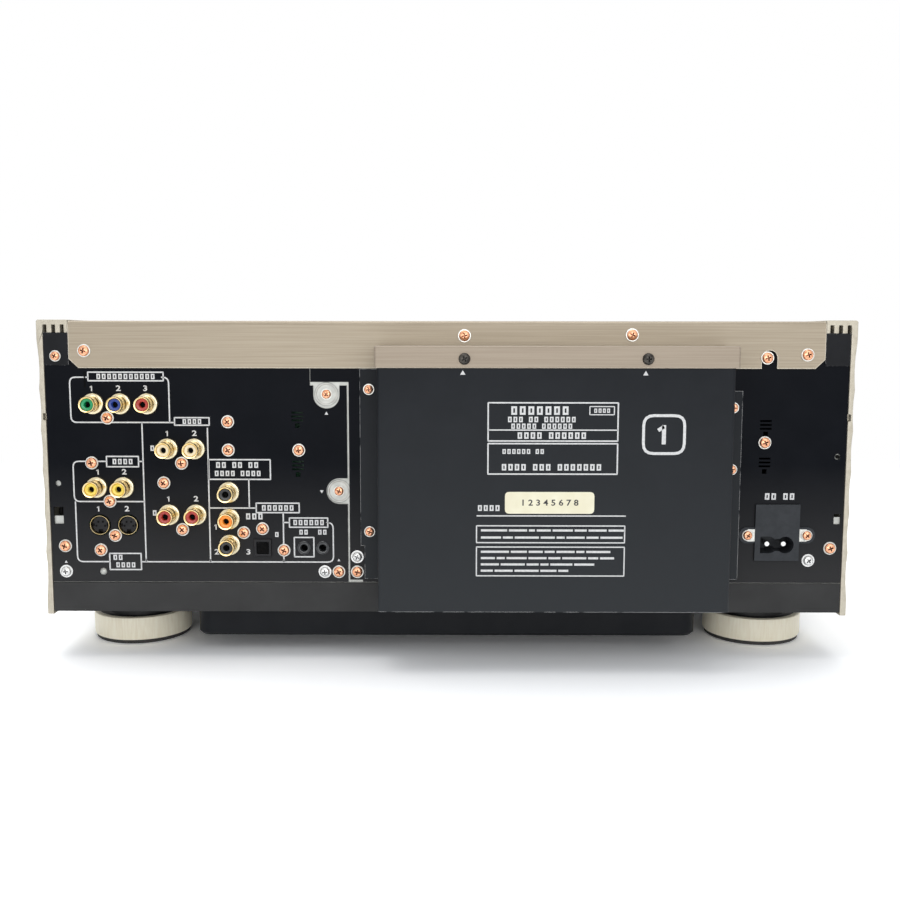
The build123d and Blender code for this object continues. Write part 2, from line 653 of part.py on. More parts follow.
copper = [screw(x, z, REAR) for x, z in connector_screws + panel_screws]
notch_place = (NOTCH_X + 1.2, 158.9)
notch_shank = sided_y(*notch_place, 1.5, (REAR, REAR + SHEET), SCREW_SIDES)
copper += [screw(*notch_place, REAR + SHEET) + notch_shank]
copper += [screw(x, z, REAR + 1.2, SMALL_SCREW_RADIUS) for x, z in flange_screws]
copper += [screw(x, z, REAR + SHEET) for x, z in band_screws]
copper += [screw(x, z, REAR + EAR_SHEET, SMALL_SCREW_RADIUS) for x, z in ear_screws]
copper += [screw(x, z, PANEL_BACK, SMALL_SCREW_RADIUS) for x, z in notch_screws]
copper += [screw(*bracket_screw, REAR + 0.6, SMALL_SCREW_RADIUS)]
keep("copper_screws", *copper)
keep("lid_screws", *[screw(x, z, REAR + BOX_DEPTH + LID_SHEET, SMALL_SCREW_RADIUS) for x, z in lid_screws])
rivet = sided_y(*RIVET_PLACE, 1.9, (REAR, REAR + 0.9), SCREW_SIDES)
keep("plated_fasteners", *[screw(x, z, REAR) for x, z in plated_screws], rivet)

# ---------------------------------------------------------------- circuit boards and power unit
BOARD = 1.6


def connector_board():
    """The upright board behind the sockets, with the moulded block that each group of them sits on."""
    board = block((58, 198), (BOARD_FACE - BOARD, BOARD_FACE), (45, 144))
    for x, z in socket_groups:
        board += block(x, (BOARD_FACE, JACK_BACK), z)
    return board


def on_board(x, y, z, board_top):
    return block(x, y, (board_top, board_top + z))


MAIN_BOARD_Z = 34.0
POWER_BOARD_Z = 33.0
STANDOFF_SIDES = 6


def main_board():
    """The signal board under the mechanism, on four stand-offs, with its larger chips and screens."""
    board = block((-150, 150), (-120, 70), (MAIN_BOARD_Z, MAIN_BOARD_Z + BOARD))
    top = MAIN_BOARD_Z + BOARD
    board += on_board((-110, -60), (-80, -30), 9.0, top)
    board += on_board((-20, 12), (-30, 2), 2.4, top)
    board += on_board((50, 78), (20, 48), 2.4, top)
    board += on_board((60, 120), (-90, -50), 12.0, top)
    for x in (-140, 140):
        for y in (-110, 60):
            board += sided_z(x, y, 3.5, (CHASSIS_FLOOR, MAIN_BOARD_Z), STANDOFF_SIDES)
    return board


def power_board():
    """The power supply board beside the transformer: smoothing capacitors and a finned heat sink."""
    board = block((-198, -104), (REAR - 78, REAR - 6), (POWER_BOARD_Z, POWER_BOARD_Z + BOARD))
    top = POWER_BOARD_Z + BOARD
    for x in (-186, -160):
        board += sided_z(x, REAR - 60, 9.0, (top, top + 32))
    board += block((-140, -108), (REAR - 58, REAR - 55), (top, top + 40))
    for fin in range(5):
        x = -138 + 7 * fin
        board += block((x, x + 1.5), (REAR - 70, REAR - 58), (top, top + 40))
    for x in (-194, -110):
        for y in (REAR - 74, REAR - 10):
            board += sided_z(x, y, 2.5, (CHASSIS_FLOOR, POWER_BOARD_Z), STANDOFF_SIDES)
    return board


TRANSFORMER_X = -54.0
TRANSFORMER_Y = REAR - 6.0
TRANSFORMER_Z = 92.0


def transformer_core():
    """A core loop with cropped corners that stands on its foot, partly inside the rear box."""
    centre = Pos(TRANSFORMER_X, TRANSFORMER_Y, TRANSFORMER_Z)
    loop = centre * Box(80, 22, 68)
    loop = chamfer(loop.edges().filter_by(Axis.Y), 10)
    window = centre * Box(40, 24, 36)
    foot_y = (TRANSFORMER_Y - 40, TRANSFORMER_Y - 8)
    foot = block((TRANSFORMER_X - 34, TRANSFORMER_X + 34), foot_y, (CHASSIS_FLOOR, CHASSIS_FLOOR + 2))
    web = block(
        (TRANSFORMER_X - 20, TRANSFORMER_X + 20),
        (TRANSFORMER_Y - 10, TRANSFORMER_Y - 8),
        (CHASSIS_FLOOR, TRANSFORMER_Z - 30),
    )
    return loop - window + foot + web


def transformer_coil(side):
    """One wound bobbin on an upright limb of the core."""
    x = TRANSFORMER_X + side * 30
    centre = Pos(x, TRANSFORMER_Y, TRANSFORMER_Z)
    outer = centre * Box(34, 36, 34)
    outer = chamfer(outer.edges().filter_by(Axis.Z), 4)
    return outer - centre * Box(20, 22, 40)


keep("connector_board", connector_board())
keep("main_board", main_board())
keep("power_board", power_board())
keep("transformer_core", transformer_core())
keep("transformer_coils", transformer_coil(-1), transformer_coil(1))

# ---------------------------------------------------------------- trays
TRAY_HALF = 170.0
TRAY_FLOOR = 121.0
TRAY_PLATE = 2.0
TRAY_TOP = 133.0
TRAY_REAR = SPINDLE_Y + 166.0
TRAY_FRONT_BACK = FRONT + 11.0
LARGE_DISC = 151.5
LARGE_RECESS = 3.0
SMALL_HALF = 65.5
SMALL_FLOOR = TRAY_FLOOR + TRAY_PLATE + SLIDE
SMALL_TOP = TRAY_TOP - LARGE_RECESS - 0.4
SMALL_DISC = 60.6
SMALL_RECESS = 1.8
SMALL_REAR = SPINDLE_Y + 150.0
SLOT_HALF = 38.5
DOOR_HALF = 172.5
DOOR_LOW = 117.0
DOOR_HIGH = 151.0
SMALL_DOOR_HALF = 66.0
SMALL_DOOR_LOW = 122.0
SMALL_DOOR_HIGH = 141.0
RIB_PLACES = [TRAY_FRONT_BACK + 70.0 * step for step in range(1, 5)]
RIB_SHEET = 1.5
DRIVE_MODULE = 1.5
DRIVE_TEETH = 24
DRIVE_PITCH = DRIVE_MODULE * DRIVE_TEETH / 2
DRIVE_X = 128.0
DRIVE_Y = SPINDLE_Y - 148.0
RACK_X = DRIVE_X + DRIVE_PITCH
RACK_TEETH = 66
RACK_LOW = 117.0  # clear of the front panel's opening


def spindle_slot(z):
    """The way for the turntable and the lens: from the disc's middle out of the tray's rear edge."""
    way = block((-SLOT_HALF, SLOT_HALF), (SPINDLE_Y, TRAY_REAR + 1), z)
    return way + rod_z(0, SPINDLE_Y, SLOT_HALF, z)


def large_tray():
    """The tray for 30 cm discs: a plate with raised shoulders, a round recess and a rack below."""
    front = TRAY_FRONT_BACK
    plate = block((-TRAY_HALF, TRAY_HALF), (front, TRAY_REAR), (TRAY_FLOOR, TRAY_FLOOR + TRAY_PLATE))
    inner = SMALL_HALF + SLIDE + 0.3
    shell_under = TRAY_TOP - LARGE_RECESS - 2.5
    shoulder = block((inner, TRAY_HALF), (front, TRAY_REAR), (TRAY_FLOOR + TRAY_PLATE, TRAY_TOP))
    hollow = block((inner + 3, TRAY_HALF - 3), (front + 3, TRAY_REAR - 3), (TRAY_FLOOR - 1, shell_under))
    tray = plate + shoulder + mirrored(shoulder)
    tray -= hollow
    tray -= mirrored(hollow)
    recess = rod_z(0, SPINDLE_Y, LARGE_DISC, (TRAY_TOP - LARGE_RECESS, TRAY_TOP + 1))
    tray -= recess
    tray -= spindle_slot((TRAY_FLOOR - 1, TRAY_TOP + 1))
    start = DRIVE_Y - math.pi * DRIVE_MODULE * 2
    bar = Pos(RACK_X, start, RACK_LOW) * rack(DRIVE_MODULE, RACK_TEETH, 5.0, TRAY_FLOOR - RACK_LOW)
    rack_length = math.pi * DRIVE_MODULE * RACK_TEETH
    spine = block((RACK_X + 2, RACK_X + 5), (start, start + rack_length), (TRAY_FLOOR, shell_under))
    tray += bar + spine
    for y in RIB_PLACES:
        rib = block((inner + 3, TRAY_HALF - 3), (y, y + RIB_SHEET), (TRAY_FLOOR, shell_under))
        tray += rib
        tray += mirrored(rib)
    return tray


def small_tray():
    """The tray for 12 cm discs, lying in the channel of the large one."""
    tray = block((-SMALL_HALF, SMALL_HALF), (FRONT + 8, SMALL_REAR), (SMALL_FLOOR, SMALL_TOP))
    tray -= rod_z(0, SPINDLE_Y, SMALL_DISC, (SMALL_TOP - SMALL_RECESS, SMALL_TOP + 1))
    tray -= spindle_slot((SMALL_FLOOR - 1, SMALL_TOP + 1))
    tray -= block((-55, 55), (FRONT + 16, SPINDLE_Y - 66), (SMALL_FLOOR - 1, SMALL_TOP - 2.0))
    return tray


def large_tray_front():
    """The gold front of the large tray, hollow behind, with the opening for the small tray."""
    front = block((-DOOR_HALF, DOOR_HALF), (FRONT, TRAY_FRONT_BACK), (DOOR_LOW, DOOR_HIGH))
    front = chamfer(front.faces().sort_by(Axis.Y)[0].edges(), 0.8)
    inside = DOOR_HALF - 3
    sill_top = SMALL_DOOR_LOW - 0.3
    front -= block((-inside, inside), (FRONT + 3.5, TRAY_FRONT_BACK + 1), (DOOR_LOW + 3, DOOR_HIGH - 3))
    front += block((-inside, inside), (FRONT + 3.5, TRAY_FRONT_BACK), (DOOR_LOW + 3, sill_top))
    opening = SMALL_DOOR_HALF + 0.4
    through = (FRONT - 1, TRAY_FRONT_BACK + 1)
    return front - block((-opening, opening), through, (sill_top, SMALL_DOOR_HIGH + 0.4))


def small_tray_front():
    front = block(
        (-SMALL_DOOR_HALF, SMALL_DOOR_HALF), (FRONT, FRONT + 8), (SMALL_DOOR_LOW, SMALL_DOOR_HIGH)
    )
    front = chamfer(front.faces().sort_by(Axis.Y)[0].edges(), 0.6)
    inside = SMALL_DOOR_HALF - 2.5
    return front - block((-inside, inside), (FRONT + 3, FRONT + 9), (SMALL_TOP + 0.5, SMALL_DOOR_HIGH - 2.5))


keep("large_tray", large_tray())
keep("large_tray_front", large_tray_front())
keep("small_tray", small_tray())
keep("small_tray_front", small_tray_front())

# ---------------------------------------------------------------- mechanism frame
DECK = 86.0
DECK_TOP = 88.5
FRAME_HALF = 172.5
FRAME_WALL = 2.5
MECH_FRONT = BODY_FRONT + 3.0
MECH_REAR = SPINDLE_Y + 193.0
ROD_X = 52.0
ROD_Z = 101.0
ROD_RADIUS = 3.0
ROD_FRONT = SPINDLE_Y + 8.0
DAMPER_TOP = CHASSIS_FLOOR + 12.0
leg_places = [(side * 160, y) for side in (-1, 1) for y in (MECH_FRONT + 14, MECH_REAR - 60)]
FEED_MODULE = 1.0
FEED_TEETH = 20
FEED_PITCH = FEED_MODULE * FEED_TEETH / 2
FEED_RACK_X = -66.0
FEED_X = FEED_RACK_X - FEED_PITCH
FEED_Y = SPINDLE_Y + 52.0
PULLEY_Y = DRIVE_Y + 62.0
CARRIAGE_FRONT = SPINDLE_Y + 14.0
CARRIAGE_LENGTH = 46.0
SHAFT = 2.0
BOSS_RADIUS = 3.8  # of each motor's boss, in the deck
LEG_SIDES = 8


def mechanism_frame():
    """The deck with its side walls, tray rails, legs, rod holders and gear studs."""
    frame = block((-FRAME_HALF, FRAME_HALF), (MECH_FRONT, MECH_REAR), (DECK, DECK_TOP))
    wall = block((FRAME_HALF, FRAME_HALF + FRAME_WALL), (MECH_FRONT, MECH_REAR), (DECK, 137))
    rail = block((163, FRAME_HALF), (MECH_FRONT, MECH_REAR - 20), (TRAY_FLOOR - 3.2, TRAY_FLOOR - SLIDE))
    keeper = block((164, FRAME_HALF), (MECH_FRONT, MECH_REAR - 20), (TRAY_TOP + 0.4, TRAY_TOP + 2.4))
    side = wall + rail + keeper
    frame += side
    frame += mirrored(side)
    for x, y in leg_places:
        frame += sided_z(x, y, 7.0, (DAMPER_TOP, DECK), LEG_SIDES)
    for x in (-ROD_X, ROD_X):
        for y in (ROD_FRONT, MECH_REAR - 4):
            frame += block((x - 6, x + 6), (y - 4, y + 4), (DECK_TOP, ROD_Z + 5))
    frame -= sided_y(ROD_X, ROD_Z, ROD_RADIUS, (ROD_FRONT - 2, MECH_REAR - 2))
    frame -= sided_y(-ROD_X, ROD_Z, ROD_RADIUS, (ROD_FRONT - 2, MECH_REAR - 2))
    through = (DECK - 1, DECK_TOP + 1)
    frame -= sided_z(0, SPINDLE_Y, 6.0, through)
    frame -= sided_z(FEED_X, FEED_Y, BOSS_RADIUS + 0.2, through)
    frame -= sided_z(DRIVE_X, PULLEY_Y, BOSS_RADIUS + 0.2, through)
    frame += rod_z(DRIVE_X, DRIVE_Y, SHAFT, (96, 118))
    frame += sided_z(DRIVE_X, DRIVE_Y, 5.0, (DECK_TOP, 96))
    for x in (-110, 60):
        for y in (SPINDLE_Y - 110, SPINDLE_Y + 80):
            frame -= block((x, x + 50), (y, y + 70), through)
    return frame


def damper(x, y):
    """A waisted rubber bush between a leg and the chassis floor."""
    radius, waist = 9.0, 6.0
    middle = (CHASSIS_FLOOR + DAMPER_TOP) / 2
    bush = sided_z(x, y, waist, (CHASSIS_FLOOR, DAMPER_TOP), LEG_SIDES)
    bush += sided_z(x, y, radius, (CHASSIS_FLOOR, middle - 1.5), LEG_SIDES)
    return bush + sided_z(x, y, radius, (middle + 1.5, DAMPER_TOP), LEG_SIDES)


keep("mechanism_frame", mechanism_frame())
keep("frame_dampers", *[damper(x, y) for x, y in leg_places])
keep(
    "guide_rods",
    *[rod_y(x, ROD_Z, ROD_RADIUS, (ROD_FRONT - 2, MECH_REAR - 2)) for x in (-ROD_X, ROD_X)],
)

# ---------------------------------------------------------------- tray drive
GEAR_LOW = 113.5
GEAR_HIGH = 120.0
PULLEY_RADIUS = 20.0
MOTOR_PULLEY_RADIUS = 6.0
BELT_Z = (99.5, 103.5)
PULLEY_LOW = 97.0
PULLEY_HIGH = 106.0
PULLEY_SIDES = 24
flange_spans = [(PULLEY_LOW, BELT_Z[0] - 0.5), (BELT_Z[1] + 0.5, PULLEY_HIGH)]


def drive_gear():
    """The tray's drive gear and its belt pulley as one moulding, turning on the deck's stud."""
    body = Pos(DRIVE_X, DRIVE_Y, GEAR_LOW) * gear(DRIVE_MODULE, DRIVE_TEETH, GEAR_HIGH - GEAR_LOW)
    body += sided_z(DRIVE_X, DRIVE_Y, 6, (PULLEY_HIGH, GEAR_LOW))
    body += rod_z(DRIVE_X, DRIVE_Y, PULLEY_RADIUS, (PULLEY_LOW, PULLEY_HIGH))
    for span in flange_spans:
        body += sided_z(DRIVE_X, DRIVE_Y, PULLEY_RADIUS + 2, span, PULLEY_SIDES)
    return body - rod_z(DRIVE_X, DRIVE_Y, SHAFT + FIT, (PULLEY_LOW - 1, GEAR_HIGH + 1))


def motor_pulley():
    """The small pulley on the loading motor's shaft."""
    pulley = rod_z(DRIVE_X, PULLEY_Y, 1.5, (72, PULLEY_LOW))
    pulley += rod_z(DRIVE_X, PULLEY_Y, MOTOR_PULLEY_RADIUS, (PULLEY_LOW, PULLEY_HIGH))
    for span in flange_spans:
        pulley += sided_z(DRIVE_X, PULLEY_Y, MOTOR_PULLEY_RADIUS + 1.5, span)
    return pulley


def loading_belt():
    """A flat rubber belt round both pulleys, its straight runs tangent to them."""
    thickness = 0.9
    gap = 0.3
    far = PULLEY_Y - DRIVE_Y
    lean = math.asin((PULLEY_RADIUS - MOTOR_PULLEY_RADIUS) / far)

    def loop(offset):
        big, small = PULLEY_RADIUS + gap + offset, MOTOR_PULLEY_RADIUS + gap + offset
        sine, cosine = math.sin(lean), math.cos(lean)
        right_big = (big * cosine, big * sine)
        right_small = (small * cosine, far + small * sine)
        left_big = (-right_big[0], right_big[1])
        left_small = (-right_small[0], right_small[1])
        edges = Curve() + [
            Line(right_big, right_small),
            ThreePointArc(right_small, (0, far + small), left_small),
            Line(left_small, left_big),
            ThreePointArc(left_big, (0, -big), right_big),
        ]
        return make_face(edges)

    ring = extrude(loop(thickness) - loop(0), BELT_Z[1] - BELT_Z[0])
    return Pos(DRIVE_X, DRIVE_Y, BELT_Z[0]) * ring


CAN_SIDES = 20


def motor(x, y, radius, low, shaft):
    """A can motor hanging under the deck, with a boss through it, bored for its shaft."""
    can = sided_z(x, y, radius, (low, DECK), CAN_SIDES) + sided_z(x, y, BOSS_RADIUS, (DECK, DECK + 2.0))
    return can - rod_z(x, y, shaft + FIT, (DECK - 18, DECK + 3))


keep("drive_gear", drive_gear())
keep("motor_pulley", motor_pulley())
keep("loading_belt", loading_belt())

# ---------------------------------------------------------------- spindle and clamp
TURNTABLE_RADIUS = 17.5
TURNTABLE_LOW = 118.5
TURNTABLE_TOP = 127.6
CONE_RADIUS = 7.3
CONE_TOP = 131.2
CLAMPER_LOW = TURNTABLE_TOP + 0.4
ARM_Z = (148.0, 150.0)
ARM_PIVOT_Y = SPINDLE_Y - 146.0
ARM_PIVOT_Z = 153.0
TURNED_SIDES = 20


def turntable():
    """Turntable and shaft in one: a raised seat ring round the well that the centring cone slides in."""
    well_floor = TURNTABLE_LOW + 2
    table = rod_z(0, SPINDLE_Y, TURNTABLE_RADIUS, (TURNTABLE_LOW, TURNTABLE_TOP))
    inside_seat = (TURNTABLE_TOP - 1.2, TURNTABLE_TOP + 1)
    table -= sided_z(0, SPINDLE_Y, TURNTABLE_RADIUS - 5, inside_seat, TURNED_SIDES)
    table -= sided_z(0, SPINDLE_Y, CONE_RADIUS + 0.3, (well_floor, TURNTABLE_TOP), TURNED_SIDES)
    table += sided_z(0, SPINDLE_Y, 8, (110, TURNTABLE_LOW), TURNED_SIDES)
    table += rod_z(0, SPINDLE_Y, SHAFT, (70, 110))
    return table + rod_z(0, SPINDLE_Y, SHAFT, (well_floor, CONE_TOP - 3.5))


def centring_cone():
    """The sprung cone that centres a disc's hole, sliding down on the spindle."""
    nose = CONE_TOP - TURNTABLE_TOP
    lean = math.degrees(math.atan((CONE_RADIUS - 4.6) / nose))
    cone = sided_z(0, SPINDLE_Y, CONE_RADIUS, (TURNTABLE_LOW + 5, TURNTABLE_TOP), TURNED_SIDES)
    cone += extrude(cone.faces().sort_by(Axis.Z)[-1], nose, taper=lean)
    return cone - rod_z(0, SPINDLE_Y, SHAFT + FIT, (TURNTABLE_LOW + 4, CONE_TOP - 1.5))


def clamper():
    """The magnetic puck that holds the disc on the turntable, hanging in the clamp arm."""
    shoulder = CLAMPER_LOW + 3
    puck = sided_z(0, SPINDLE_Y, TURNTABLE_RADIUS - 0.5, (CLAMPER_LOW, shoulder), TURNED_SIDES)
    puck += sided_z(0, SPINDLE_Y, 14, (shoulder, 138), TURNED_SIDES)
    puck += rod_z(0, SPINDLE_Y, 10, (138, ARM_Z[1] + 0.6))
    puck += sided_z(0, SPINDLE_Y, 14, (ARM_Z[1] + 0.6, ARM_Z[1] + 2.6), TURNED_SIDES)
    return puck - sided_z(0, SPINDLE_Y, 8, (CLAMPER_LOW - 1, 134))


def clamp_arm():
    """A pressed steel arm from the bridge's pivots to the clamper, its edges turned down."""
    reach = SPINDLE_Y + 22
    corners = [(-58, ARM_PIVOT_Y - 4), (58, ARM_PIVOT_Y - 4), (58, ARM_PIVOT_Y + 30), (24, reach - 30)]
    corners += [(24, reach), (-24, reach), (-24, reach - 30), (-58, ARM_PIVOT_Y + 30)]
    face = make_face(Polyline([(x, y, ARM_Z[0]) for x, y in corners], close=True))
    arm = extrude(face, ARM_Z[1] - ARM_Z[0], dir=(0, 0, 1))
    arm -= rod_z(0, SPINDLE_Y, 10.6, (ARM_Z[0] - 1, ARM_Z[1] + 1))
    arm -= block((-14, 14), (ARM_PIVOT_Y + 16, SPINDLE_Y - 40), (ARM_Z[0] - 1, ARM_Z[1] + 1))
    for side in (-1, 1):
        ear = block(
            (side * 56, side * 58), (ARM_PIVOT_Y - 4, ARM_PIVOT_Y + 8), (ARM_Z[1], ARM_PIVOT_Z + 4)
        )
        arm += ear
        arm += rod_x(ARM_PIVOT_Y, ARM_PIVOT_Z, 2.0, (side * 58, side * 63))
    return arm


def clamp_bridge():
    """A steel channel across the tray, carried on the side walls, with an ear for each arm pivot."""
    wall_x = FRAME_HALF + FRAME_WALL
    y = (ARM_PIVOT_Y - 8, ARM_PIVOT_Y + 12)
    bridge = block((-wall_x, wall_x), y, (161, 163))
    bridge += block((-wall_x, wall_x), (y[1] - 2, y[1]), (156.5, 161))
    for side in (-1, 1):
        bridge += block((side * FRAME_HALF, side * wall_x), y, (137, 161))
        ear = block((side * 60, side * 62.5), (ARM_PIVOT_Y - 6, ARM_PIVOT_Y + 6), (148, 161))
        ear -= rod_x(ARM_PIVOT_Y, ARM_PIVOT_Z, 2.0 + FIT, (side * 59, side * 64))
        bridge += ear
    bridge -= block((-60, 60), (y[1] - 3, y[1] + 1), (155, 161))
    return bridge


keep("turntable", turntable())
keep("centring_cone", centring_cone())
keep("spindle_motor", motor(0, SPINDLE_Y, 25.0, 52, SHAFT))
keep("clamper", clamper())
keep("clamp_arm", clamp_arm())
keep("clamp_bridge", clamp_bridge())

# ---------------------------------------------------------------- pickup carriage
CARRIAGE_LOW = 92.0
CARRIAGE_TOP = 112.0
TURRET = 4.0
LENS_Y = SPINDLE_Y + 25.0
LENS_STEP = 17.0
FEED_RACK_TEETH = 43
FEED_LOW = 93.0


def carriage():
    """The pickup carriage: two bushed arms on the guide rods, an optics box and the feed rack."""
    back = CARRIAGE_FRONT + CARRIAGE_LENGTH
    optics = block((-26, 26), (CARRIAGE_FRONT, back), (CARRIAGE_LOW, CARRIAGE_TOP))
    optics = chamfer(optics.edges().filter_by(Axis.Z), 3)
    beam = block((-60, 60), (CARRIAGE_FRONT + 4, back - 4), (CARRIAGE_LOW + 3, CARRIAGE_TOP - 4))
    body = optics + beam
    for x in (-ROD_X, ROD_X):
        body -= rod_y(x, ROD_Z, ROD_RADIUS + FIT, (CARRIAGE_FRONT, back))
    turret = block((-11, 11), (LENS_Y - 8, LENS_Y + LENS_STEP + 9), (CARRIAGE_TOP, CARRIAGE_TOP + TURRET))
    body += chamfer(turret.edges().filter_by(Axis.Z), 4)
    start = FEED_Y - math.pi * FEED_MODULE * 39
    bar = Pos(FEED_RACK_X, start, FEED_LOW) * rack(FEED_MODULE, FEED_RACK_TEETH, 5.0, 4.0)
    foot = block((-61, -58), (CARRIAGE_FRONT + 4, back - 4), (FEED_LOW, CARRIAGE_LOW + 8))
    return body + bar + foot


def lens_holder(y):
    """One lens in its holder on the turret, its face inside a raised rim."""
    low = CARRIAGE_TOP + TURRET
    rim = low + 5.5
    holder = sided_z(0, y, 5.5, (low, rim - 1.5), 16) + sided_z(0, y, 4.2, (rim - 1.5, rim), 16)
    return holder - sided_z(0, y, 2.6, (rim - 0.6, rim + 1))


def feed_gear():
    body = Pos(FEED_X, FEED_Y, FEED_LOW - 1) * gear(FEED_MODULE, FEED_TEETH, 6.0)
    return body + rod_z(FEED_X, FEED_Y, 1.5, (74, FEED_LOW - 1))


keep("pickup_carriage", carriage())
keep("pickup_lenses", lens_holder(LENS_Y), lens_holder(LENS_Y + LENS_STEP))
keep("feed_gear", feed_gear())
keep("small_motors", motor(DRIVE_X, PULLEY_Y, 11.5, 60, 1.5), motor(FEED_X, FEED_Y, 11.5, 60, 1.5))

# ---------------------------------------------------------------- front panel and controls
WINDOW_HALF = 78.0
WINDOW_LOW = 66.0
WINDOW_HIGH = 98.0
WINDOW_FLANGE = 1.5
BUTTON_GAP = 0.3
FLANGE_GAP = 2.2
POWER_PLACE = (-165.0, 82.0)
POWER_RADIUS = 10.0
# name: (left, right, low, high)
button_faces = {
    "large_tray_button": (-136.0, -100.0, 86.0, 96.0),
    "small_tray_button": (-136.0, -100.0, 68.0, 78.0),
    "play_button": (100.0, 190.0, 86.0, 96.0),
    "stop_button": (100.0, 126.0, 68.0, 78.0),
    "back_button": (132.0, 158.0, 68.0, 78.0),
    "forward_button": (164.0, 190.0, 68.0, 78.0),
}


def front_panel():
    """The hollow front: a thick gold face with rounded upright edges, and its openings."""
    outer = block((-HALF_WIDTH, HALF_WIDTH), (FRONT, BODY_FRONT), (SIDE_BOTTOM, HEIGHT))
    outer = fillet(outer.edges().filter_by(Axis.Z).sort_by(Axis.Y)[:2], 7.0)
    outer = chamfer(outer.edges().filter_by(Axis.X).sort_by(Axis.Y)[:2], 1.5)
    inner = block(
        (-HALF_WIDTH + 5, HALF_WIDTH - 5), (FRONT + FRONT_WALL, BODY_FRONT + 1), (SIDE_BOTTOM + 4, HEIGHT - 4)
    )
    panel = outer - inner
    through = (FRONT - 1, FRONT + FRONT_WALL + 1)
    panel -= block((-DOOR_HALF - 0.5, DOOR_HALF + 0.5), through, (DOOR_LOW - 0.5, DOOR_HIGH + 0.5))
    panel -= block((-WINDOW_HALF, WINDOW_HALF), through, (WINDOW_LOW, WINDOW_HIGH))
    panel -= rod_y(*POWER_PLACE, POWER_RADIUS + BUTTON_GAP, through)
    for left, right, low, high in button_faces.values():
        panel -= block(
            (left - BUTTON_GAP, right + BUTTON_GAP), through, (low - BUTTON_GAP, high + BUTTON_GAP)
        )
    groove = block((-HALF_WIDTH - 1, HALF_WIDTH + 1), (FRONT - 1, FRONT + 0.8), (55.0, 56.5))
    return panel - groove


def display_window():
    """The smoked pane, flush with the panel, with a flange behind its edge."""
    side, low, high = WINDOW_HALF - 0.1, WINDOW_LOW + 0.1, WINDOW_HIGH - 0.1
    pane = block((-side, side), (FRONT + 0.4, FRONT + FRONT_WALL), (low, high))
    behind = (FRONT + FRONT_WALL, FRONT + FRONT_WALL + WINDOW_FLANGE)
    return pane + block((-WINDOW_HALF - 3, WINDOW_HALF + 3), behind, (WINDOW_LOW - 3, WINDOW_HIGH + 3))


def push_button(left, right, low, high):
    """A cap through the panel and a retaining flange behind it, with room for the travel."""
    cap = block((left, right), (FRONT - BUTTON_PROUD, FRONT + FRONT_WALL + FLANGE_GAP), (low, high))
    cap = fillet(cap.faces().sort_by(Axis.Y)[0].edges(), 0.8)
    back = FRONT + FRONT_WALL + FLANGE_GAP
    return cap + block((left - 1.5, right + 1.5), (FRONT + FRONT_WALL + 0.1, back), (low - 1.5, high + 1.5))


def power_button():
    back = FRONT + FRONT_WALL + FLANGE_GAP
    cap = rod_y(*POWER_PLACE, POWER_RADIUS, (FRONT - BUTTON_PROUD, back))
    cap = chamfer(cap.faces().sort_by(Axis.Y)[0].edges(), 0.8)
    return cap + sided_y(*POWER_PLACE, POWER_RADIUS + 2, (FRONT + FRONT_WALL + 0.1, back), 16)


def front_board():
    """The board behind the controls: display tube and one switch under each button."""
    y = FRONT + 15.0
    board = block((-198, 198), (y, y + BOARD), (34, 112))
    window_back = FRONT + FRONT_WALL + WINDOW_FLANGE
    board += block((-WINDOW_HALF + 6, WINDOW_HALF - 6), (window_back, y), (WINDOW_LOW + 2, WINDOW_HIGH - 2))
    switch_y = (FRONT + FRONT_WALL + FLANGE_GAP + BUTTON_PROUD + 0.1, y)
    places = [POWER_PLACE] + [((a + b) / 2, (c + d) / 2) for a, b, c, d in button_faces.values()]
    for x, z in places:
        board += block((x - 3, x + 3), switch_y, (z - 3, z + 3))
    return board


keep("front_panel", front_panel())
keep("display_window", display_window())
keep("power_button", power_button())
for name, sides in button_faces.items():
    keep(name, push_button(*sides))
keep("front_board", front_board())

for name, shape in made.items():
    export_step(shape, f"parts/{name}.step")
print(len(made), "pieces")
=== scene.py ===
"""A disc player with nested trays, seen from its connector side. Sizes are in metres."""
import json
import math

import bmesh
import bpy
from mathutils import Matrix, Vector

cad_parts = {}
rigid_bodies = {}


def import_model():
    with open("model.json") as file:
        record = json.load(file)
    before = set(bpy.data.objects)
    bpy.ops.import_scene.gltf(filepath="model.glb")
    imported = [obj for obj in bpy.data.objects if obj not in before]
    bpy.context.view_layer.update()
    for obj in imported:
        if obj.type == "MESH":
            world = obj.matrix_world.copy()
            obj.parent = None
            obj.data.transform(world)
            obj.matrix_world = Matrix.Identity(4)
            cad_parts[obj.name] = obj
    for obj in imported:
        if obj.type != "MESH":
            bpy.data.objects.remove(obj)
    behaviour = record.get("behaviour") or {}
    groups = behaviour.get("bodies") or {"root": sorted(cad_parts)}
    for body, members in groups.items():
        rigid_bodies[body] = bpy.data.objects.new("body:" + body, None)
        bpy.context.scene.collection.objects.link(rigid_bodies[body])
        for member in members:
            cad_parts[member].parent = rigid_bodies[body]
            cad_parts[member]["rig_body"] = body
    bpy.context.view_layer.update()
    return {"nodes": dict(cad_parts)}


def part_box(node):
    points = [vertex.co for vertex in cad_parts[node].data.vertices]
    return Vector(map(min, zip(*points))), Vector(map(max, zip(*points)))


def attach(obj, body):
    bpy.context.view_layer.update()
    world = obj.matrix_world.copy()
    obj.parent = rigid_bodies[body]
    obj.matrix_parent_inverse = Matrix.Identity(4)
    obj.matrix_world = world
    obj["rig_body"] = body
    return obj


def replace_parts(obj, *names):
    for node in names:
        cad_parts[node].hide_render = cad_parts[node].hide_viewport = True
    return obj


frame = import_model()
MM = 0.001
SMOOTH_BELOW = 35  # degrees between faces
SAME_POINT = 0.002 * MM

